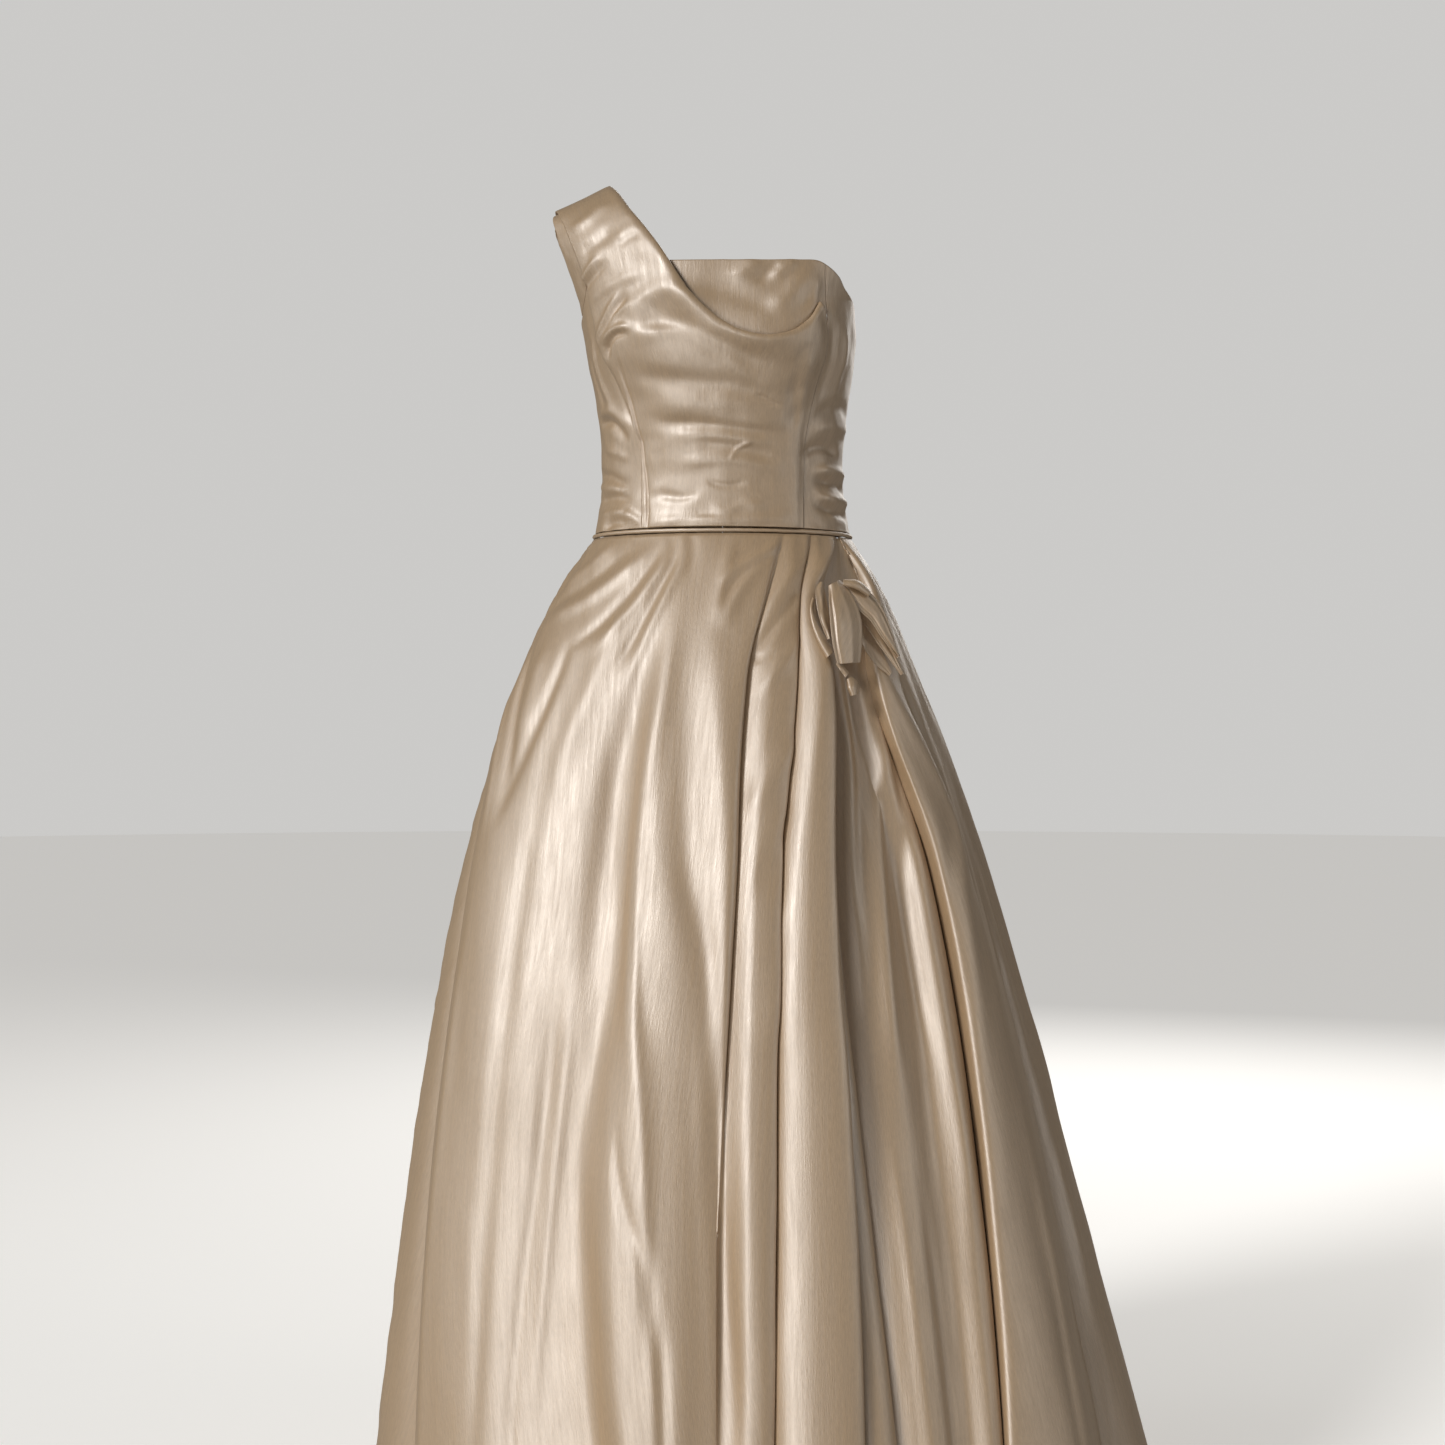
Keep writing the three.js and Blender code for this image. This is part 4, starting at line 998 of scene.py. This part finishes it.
PIPING = {"radius": 2.2, "drop": 0.4, "out": 1.1}


def make_piping(material):
    """A satin-covered cord round the waist, with a soft twist to its cover."""
    turns, sides = 420, 14
    angle, turn = np.meshgrid(
        np.linspace(0, 360, turns + 1), np.linspace(360, 0, sides + 1), indexing="ij"
    )
    across = ring(angle + 0.5, 0 * angle) - ring(angle - 0.5, 0 * angle)
    across /= np.linalg.norm(across, axis=-1, keepdims=True)
    out = np.stack([across[..., 1], -across[..., 0], 0 * angle], axis=-1)
    around = np.radians(turn)
    section = PIPING["radius"] * (1 + 0.03 * np.sin(np.radians(angle * 60) + around))
    middle = ring(angle, 0 * angle) + out * PIPING["out"]
    points = middle + out * (section * np.cos(around))[..., None]
    points[..., 2] += section * np.sin(around) - PIPING["drop"]
    points[-1], points[:, -1] = points[0], points[:, 0]
    mesh = cloth_mesh("waist_piping", points)
    bm = bmesh.new()
    bm.from_mesh(mesh)
    bmesh.ops.remove_doubles(bm, verts=bm.verts, dist=1e-6)
    bmesh.ops.recalc_face_normals(bm, faces=bm.faces)
    bm.to_mesh(mesh)
    bm.free()
    return add_piece("waist_piping", mesh, material)


# ---------- the bow ----------
# Points of the bow are on its own plane, which slopes with the hip: x to its right, y up,
# and how far out towards the front.

BOW_FACING = math.radians(35)
BOW_TILT = 0.35
BOW_CENTRE = (126, -111, -84)


def on_bow(x, y, out):
    cx, cy, cz = BOW_CENTRE
    right, back = math.cos(BOW_FACING), math.sin(BOW_FACING)
    return np.stack([cx + x * right, cy + x * back + BOW_TILT * y - out, cz + y], axis=-1)


def stem_of(stations, v):
    """The middle line of a leaf, its sideways direction, out and half-width."""
    knots = np.linspace(0, 1, len(stations))
    x, y, out, half = (through(knots, [s[k] for s in stations], v) for k in range(4))
    step = 1e-3
    v0, v1 = np.clip(v - step, 0, 1), np.clip(v + step, 0, 1)
    across, along = ([s[k] for s in stations] for k in range(2))
    dx = through(knots, across, v1) - through(knots, across, v0)
    dy = through(knots, along, v1) - through(knots, along, v0)
    length = np.maximum(np.hypot(dx, dy), 1e-9)
    return x, y, out, half, dx / length, dy / length


# Each leaf: stations of x, y, out and half-width from the knot to the tip; how far its
# middle stands out; the creases along it as (place across, height, width); and how far
# its edges curl out.
LEAVES = {
    "bow_leaf_centre": (
        [
            (-14.5, 27, 18, 8), (-8, 12, 23, 15), (-1, -11, 25, 20), (1, -35, 23, 19),
            (2.5, -56, 19, 15),
        ],
        5, [(0.12, -1.6, 0.04), (0.66, 0.9, 0.1)], 1,
    ),
    "bow_petal_left": (
        [(-29, 27, 12, 3), (-32, 17, 13, 6), (-27.5, -8, 14, 6.5), (-21, -31, 13, 2.5)],
        2, [(0.5, 0.8, 0.2)], 0.6,
    ),
    "bow_leaf_right": (
        [
            (4, 24, 18, 6), (24, 9, 20, 12), (39, -4, 21, 10.5), (53, -25, 20, 7.5),
            (68, -48, 17, 1.5),
        ],
        4, [(0.24, -1.3, 0.06), (0.8, 1.0, 0.1)], 2,
    ),
    "bow_leaf_under": (
        [(18, 6, 11, 8), (34, -10, 12, 10), (51, -32, 13, 9), (73, -66, 12, 1.5)],
        3, [(0.5, -1.2, 0.12)], 1,
    ),
    "bow_petal_lower": (
        [(20, -12, 2, 6), (30, -31, 3, 9), (42, -49, 6, 8), (58, -66, 8, 2.5)],
        2, [(0.4, -1.0, 0.14)], 0.6,
    ),
    "bow_stem": ([(-12, -55, 8, 2.5), (-6, -61, 8, 3), (1, -68, 8, 3.5)], 1.5, [], 0),
}  # fmt: skip

# Each leaf that is rolled into a tube: its stations and how far it is open, in degrees.
ROLLS = {
    "bow_petal_rolled": (
        [
            (-40, 11, 4, 2.2), (-43, 0, 5, 2.6), (-40, -14, 6, 4), (-32, -30, 8, 5.5),
            (-20, -47, 10, 6.5),
        ],
        70,
    ),
    "bow_knot": ([(-3, 27, 25, 3.5), (15, 25, 29, 5), (31, 16, 28, 3.5)], 90),
    "bow_bud": ([(3, -70.5, 7, 3.5), (8, -79, 7, 7.5), (10, -88, 7, 5.5)], 80),
}  # fmt: skip


def make_leaf(name, material):
    stations, cup, pleats, curl = LEAVES[name]
    small = name == "bow_stem"
    columns, rows = (14, 16) if small else (44, 60)
    u, v = np.meshgrid(spaced(columns, edge=0.01), spaced(rows, edge=0.006), indexing="ij")
    x, y, out, half, dx, dy = stem_of(stations, v)
    side = 2 * u - 1
    out = out + cup * (1 - side**2) + curl * smooth(0.75, 1, np.abs(side)) * smooth(0, 0.3, v)
    for place, height, width in pleats:
        out = out + height * np.exp(-(((u - place) / width) ** 2)) * smooth(0, 0.15, v)
    out = out + 0.5 * ripple(u * 30, v * 60, 9, 14, len(name))
    points = on_bow(x - dy * side * half, y + dx * side * half, out)
    return add_piece(name, points, material, bpy.context.scene.gown_sizes.leaf)


def make_roll(name, material):
    stations, gap = ROLLS[name]
    u, v = np.meshgrid(spaced(40, edge=0.01), spaced(40, edge=0.008), indexing="ij")
    x, y, out, half, dx, dy = stem_of(stations, v)
    turn = np.radians(mix(gap / 2 - 180, 180 - gap / 2, u))
    half = half * (1 + 0.07 * ripple(u * 30, v * 60, 8, 20, len(name)))
    side = np.sin(turn) * half
    points = on_bow(x - dy * side, y + dx * side, out + np.cos(turn) * half)
    return add_piece(name, points, material, bpy.context.scene.gown_sizes.leaf)


# ---------- properties ----------


class GownSizes(bpy.types.PropertyGroup):
    """Sizes that a user would change."""

    cloth: FloatProperty(
        name="Cloth",
        description="Thickness of the satin with its backing",
        default=0.0014,
        min=0.0004,
        max=0.002,
        unit="LENGTH",
    )
    leaf: FloatProperty(
        name="Bow cloth",
        description="Thickness of the bow's folded leaves",
        default=0.0013,
        min=0.0004,
        max=0.002,
        unit="LENGTH",
    )
    creases: FloatProperty(
        name="Creases",
        description="How strongly the cloth is creased, as a share of the worn gown's",
        default=1.0,
        min=0.0,
        max=1.5,
        subtype="FACTOR",
    )


class GownColours(bpy.types.PropertyGroup):
    """Colours and finish that a user would change."""

    satin: FloatVectorProperty(
        name="Satin",
        description="Colour of the champagne satin",
        default=(0.425, 0.281, 0.147),
        min=0.0,
        max=1.0,
        subtype="COLOR",
    )
    roughness: FloatProperty(
        name="Roughness",
        description="How soft the satin's shine is",
        default=0.5,
        min=0.1,
        max=0.9,
        subtype="FACTOR",
    )
    floor: FloatVectorProperty(
        name="Floor",
        description="Colour of the studio floor",
        default=(0.86, 0.85, 0.83),
        min=0.0,
        max=1.0,
        subtype="COLOR",
    )


# ---------- operators ----------


class GOWN_OT_bodice(bpy.types.Operator):
    """Makes the five fitted panels of the bodice"""

    bl_idname = "gown.bodice"
    bl_label = "Bodice panels"

    def execute(self, context):
        cloth = satin("bodice satin")
        panels = [
            ("bodice_front", right_princess, princess, (96, 100), (0.25, 0.29), 0.058),
            ("bodice_side_left", princess, upright(90), (50, 100), (0.12, 0.27), 0.027),
            ("bodice_side_right", upright(-90), right_princess, (50, 100), (0.13, 0.28), 0.028),
            ("bodice_back_left", upright(90), upright(180), (76, 90), (0.2, 0.25), 0.045),
            ("bodice_back_right", upright(180), upright(270), (76, 90), (0.2, 0.25), 0.045),
        ]
        for name, left, right, grid, flat, area in panels:
            piece = bodice_panel(name, left, right, grid, cloth)
        return {"FINISHED"}


class GOWN_OT_drape(bpy.types.Operator):
    """Makes the cowl drape, the back of its strap and the strap under it"""

    bl_idname = "gown.drape"
    bl_label = "Drape and strap"

    def execute(self, context):
        cloth = satin("drape satin")
        drape = make_drape(cloth)
        back = make_strap_back(cloth)
        under = make_strap_under(cloth)
        return {"FINISHED"}


class GOWN_OT_waist(bpy.types.Operator):
    """Makes the cord round the waist seam"""

    bl_idname = "gown.waist"
    bl_label = "Waist cord"

    def execute(self, context):
        make_piping(satin("bodice satin"))
        return {"FINISHED"}


class GOWN_OT_skirt(bpy.types.Operator):
    """Makes the six panels of the skirt with their folds"""

    bl_idname = "gown.skirt"
    bl_label = "Skirt"

    def execute(self, context):
        cloth = satin("skirt satin")
        hidden = hidden_folds()
        front = FRONT_FOLDS
        side = [*SIDE_FOLDS, *hidden]
        panels = [
            ("skirt_front", 0, 3, 168, SKIRT_TOP, front, (0, 0), (0.62, 1.14), 0.43),
            ("skirt_front_pleat", 3, 4, 168, SKIRT_TOP, front, (0, 3), (0.14, 1.13), 0.115),
            ("skirt_inset", 4, 7, 160, INSET_TOP, INSET_FOLDS, (0, 0), (0.3, 1.12), 0.19),
            ("skirt_side_left", 7, 10, 160, SKIRT_TOP, side, (3, 0), (0.6, 1.14), 0.42),
            ("skirt_back_left", 10, 13, 150, SKIRT_TOP, hidden, (0, 0), (0.62, 1.16), 0.45),
            ("skirt_back_right", 13, TURN, 150, SKIRT_TOP, hidden, (0, 0), (1.05, 1.16), 0.78),
        ]
        for name, first, last, rows, top, creased, lip, flat, area in panels:
            piece = skirt_panel(name, first, last, rows, top, creased, cloth, lip)
        return {"FINISHED"}


class GOWN_OT_bow(bpy.types.Operator):
    """Makes the bow of folded and rolled leaves at the hip"""

    bl_idname = "gown.bow"
    bl_label = "Bow"

    def execute(self, context):
        cloth = satin("bow satin", turn=35)
        flats = {
            "bow_leaf_centre": (0.041, 0.086, 0.0029),
            "bow_petal_left": (0.012, 0.068, 0.00078),
            "bow_leaf_right": (0.025, 0.098, 0.0017),
            "bow_leaf_under": (0.021, 0.088, 0.0014),
            "bow_petal_lower": (0.018, 0.068, 0.001),
            "bow_stem": (0.01, 0.018, 0.00012),
            "bow_petal_rolled": (0.032, 0.07, 0.0014),
            "bow_knot": (0.024, 0.037, 0.00065),
            "bow_bud": (0.036, 0.02, 0.00055),
        }
        for name, (width, length, area) in flats.items():
            make = make_leaf if name in LEAVES else make_roll
            make(name, cloth)
        return {"FINISHED"}


def area_light(name, place, aim, size, power, colour):
    """A soft rectangular light at a place, turned towards a point."""
    data = bpy.data.lights.new(name, "AREA")
    data.shape, data.size, data.size_y = "RECTANGLE", size[0], size[1]
    data.energy, data.color = power, colour
    light = bpy.data.objects.new(name, data)
    bpy.context.scene.collection.objects.link(light)
    light.location = place
    away = np.subtract(place, aim)
    light.rotation_euler = (
        math.atan2(math.hypot(away[0], away[1]), away[2]),
        0,
        math.atan2(away[0], -away[1]),
    )


def floor_material(colour):
    """A pale floor that shows bright to the camera and throws less light on the gown."""
    plain = bpy.data.materials.new("studio floor")
    plain.use_nodes = True
    tree = plain.node_tree
    tree.nodes.remove(tree.nodes["Principled BSDF"])
    shown = make_node(tree, "BsdfDiffuse", {"Color": (*colour, 1)}).outputs["BSDF"]
    dim = (*(FLOOR_BOUNCE * c for c in colour), 1)
    bounced = make_node(tree, "BsdfDiffuse", {"Color": dim}).outputs["BSDF"]
    glow = make_node(tree, "Emission", {"Color": (*colour, 1), "Strength": FLOOR_GLOW})
    lifted = make_node(tree, "AddShader", {0: shown, 1: glow.outputs["Emission"]})
    ray = make_node(tree, "LightPath").outputs["Is Camera Ray"]
    blend = make_node(tree, "MixShader", {"Fac": ray, 1: bounced, 2: lifted.outputs["Shader"]})
    tree.links.new(blend.outputs["Shader"], tree.nodes["Material Output"].inputs["Surface"])
    return plain


def studio_world():
    """Pale walls to the camera, and a dim even light for the gown."""
    world = bpy.data.worlds.new("studio")
    world.use_nodes = True
    tree = world.node_tree
    tree.nodes.clear()
    seen = make_node(tree, "Background", {"Color": WALL_SEEN})
    lit = make_node(tree, "Background", {"Color": WALL_LIGHT, "Strength": WALL_STRENGTH})
    ray = make_node(tree, "LightPath").outputs["Is Camera Ray"]
    ends = {"Fac": ray, 1: lit.outputs["Background"], 2: seen.outputs["Background"]}
    both = make_node(tree, "MixShader", ends)
    make_node(tree, "OutputWorld", {"Surface": both.outputs["Shader"]})
    return world


FLOOR_RADIUS = 16  # metres, as are the places and sizes of the lights
FLOOR_DROP = 0.002  # space under the hem
FLOOR_BOUNCE = 0.35
FLOOR_GLOW = 0.3
WALL_SEEN = (0.60, 0.593, 0.58, 1)
WALL_LIGHT = (0.84, 0.81, 0.77, 1)
WALL_STRENGTH = 0.1
SUN_STRENGTH = 1.95
SUN_WIDTH = math.radians(14)
SUN_COLOUR = (1.0, 0.985, 0.965)
SUN_TURN = (math.radians(64), 0, math.radians(-42))
CAMERA_LENS, CAMERA_SENSOR = 55.36, 36  # millimetres
CAMERA_PLACE = (0, -2.4, -0.2)
# Each soft light: its name, place, aim, size, power and colour.
SOFT_LIGHTS = [
    ("front", (-1.15, -3.3, -0.4), (0, 0, -0.1), (0.9, 1.3), 18, (1.0, 0.985, 0.96)),
    ("low", (-0.7, -3.0, -0.85), (0, 0, 0.1), (1.4, 0.3), 7, (1.0, 0.97, 0.93)),
    ("left", (-3.0, -0.2, 0.3), (0, 0, -0.3), (0.6, 2.2), 10, (0.86, 0.94, 1.0)),
    ("right", (3.0, -1.2, 0.3), (0, 0, -0.3), (1.0, 2.2), 13, (1.0, 0.97, 0.92)),
    ("back", (1.2, 3.2, 1.4), (0, 0, -0.4), (2.2, 2.2), 65, (1.0, 0.98, 0.95)),
]


class GOWN_OT_stage(bpy.types.Operator):
    """Makes the floor, the soft studio light and the camera"""

    bl_idname = "gown.stage"
    bl_label = "Stage"

    def execute(self, context):
        scene = context.scene
        mesh = bpy.data.meshes.new("floor")
        bm = bmesh.new()
        bmesh.ops.create_circle(bm, cap_ends=True, segments=96, radius=FLOOR_RADIUS)
        bmesh.ops.translate(bm, verts=bm.verts, vec=(0, 0, -HEM_DEPTH * MM - FLOOR_DROP))
        bm.to_mesh(mesh)
        bm.free()
        floor = bpy.data.objects.new("floor", mesh)
        scene.collection.objects.link(floor)
        mesh.materials.append(floor_material(scene.gown_colours.floor))
        scene.world = studio_world()

        sun = bpy.data.lights.new("key", "SUN")
        sun.energy, sun.angle, sun.color = SUN_STRENGTH, SUN_WIDTH, SUN_COLOUR
        key = bpy.data.objects.new("key", sun)
        scene.collection.objects.link(key)
        key.rotation_euler = SUN_TURN
        for light in SOFT_LIGHTS:
            area_light(*light)
        scene.view_settings.view_transform = "Standard"

        data = bpy.data.cameras.new("camera")
        data.lens, data.sensor_width = CAMERA_LENS, CAMERA_SENSOR
        camera = bpy.data.objects.new("camera", data)
        scene.collection.objects.link(camera)
        camera.location = CAMERA_PLACE
        camera.rotation_euler = (math.radians(90), 0, 0)
        scene.camera = camera
        return {"FINISHED"}


class GOWN_PT_panel(bpy.types.Panel):
    """The gown's operators and settings in the sidebar"""

    bl_label = "Satin ball gown"
    bl_space_type = "VIEW_3D"
    bl_region_type = "UI"
    bl_category = "Gown"

    def draw(self, context):
        layout = self.layout
        for name in ("cloth", "leaf", "creases"):
            layout.prop(context.scene.gown_sizes, name)
        for name in ("satin", "roughness", "floor"):
            layout.prop(context.scene.gown_colours, name)
        for operator in OPERATORS:
            layout.operator(operator.bl_idname)


OPERATORS = (
    GOWN_OT_stage,
    GOWN_OT_bodice,
    GOWN_OT_drape,
    GOWN_OT_waist,
    GOWN_OT_skirt,
    GOWN_OT_bow,
)
CLASSES = (GownSizes, GownColours, *OPERATORS, GOWN_PT_panel)


def register():
    for cls in CLASSES:
        bpy.utils.register_class(cls)
    bpy.types.Scene.gown_sizes = PointerProperty(type=GownSizes)
    bpy.types.Scene.gown_colours = PointerProperty(type=GownColours)


def unregister():
    del bpy.types.Scene.gown_colours
    del bpy.types.Scene.gown_sizes
    for cls in reversed(CLASSES):
        bpy.utils.unregister_class(cls)


def main():
    register()
    bpy.ops.gown.stage()
    bpy.ops.gown.bodice()
    bpy.ops.gown.drape()
    bpy.ops.gown.waist()
    bpy.ops.gown.skirt()
    bpy.ops.gown.bow()


if __name__ == "__main__":
    main()
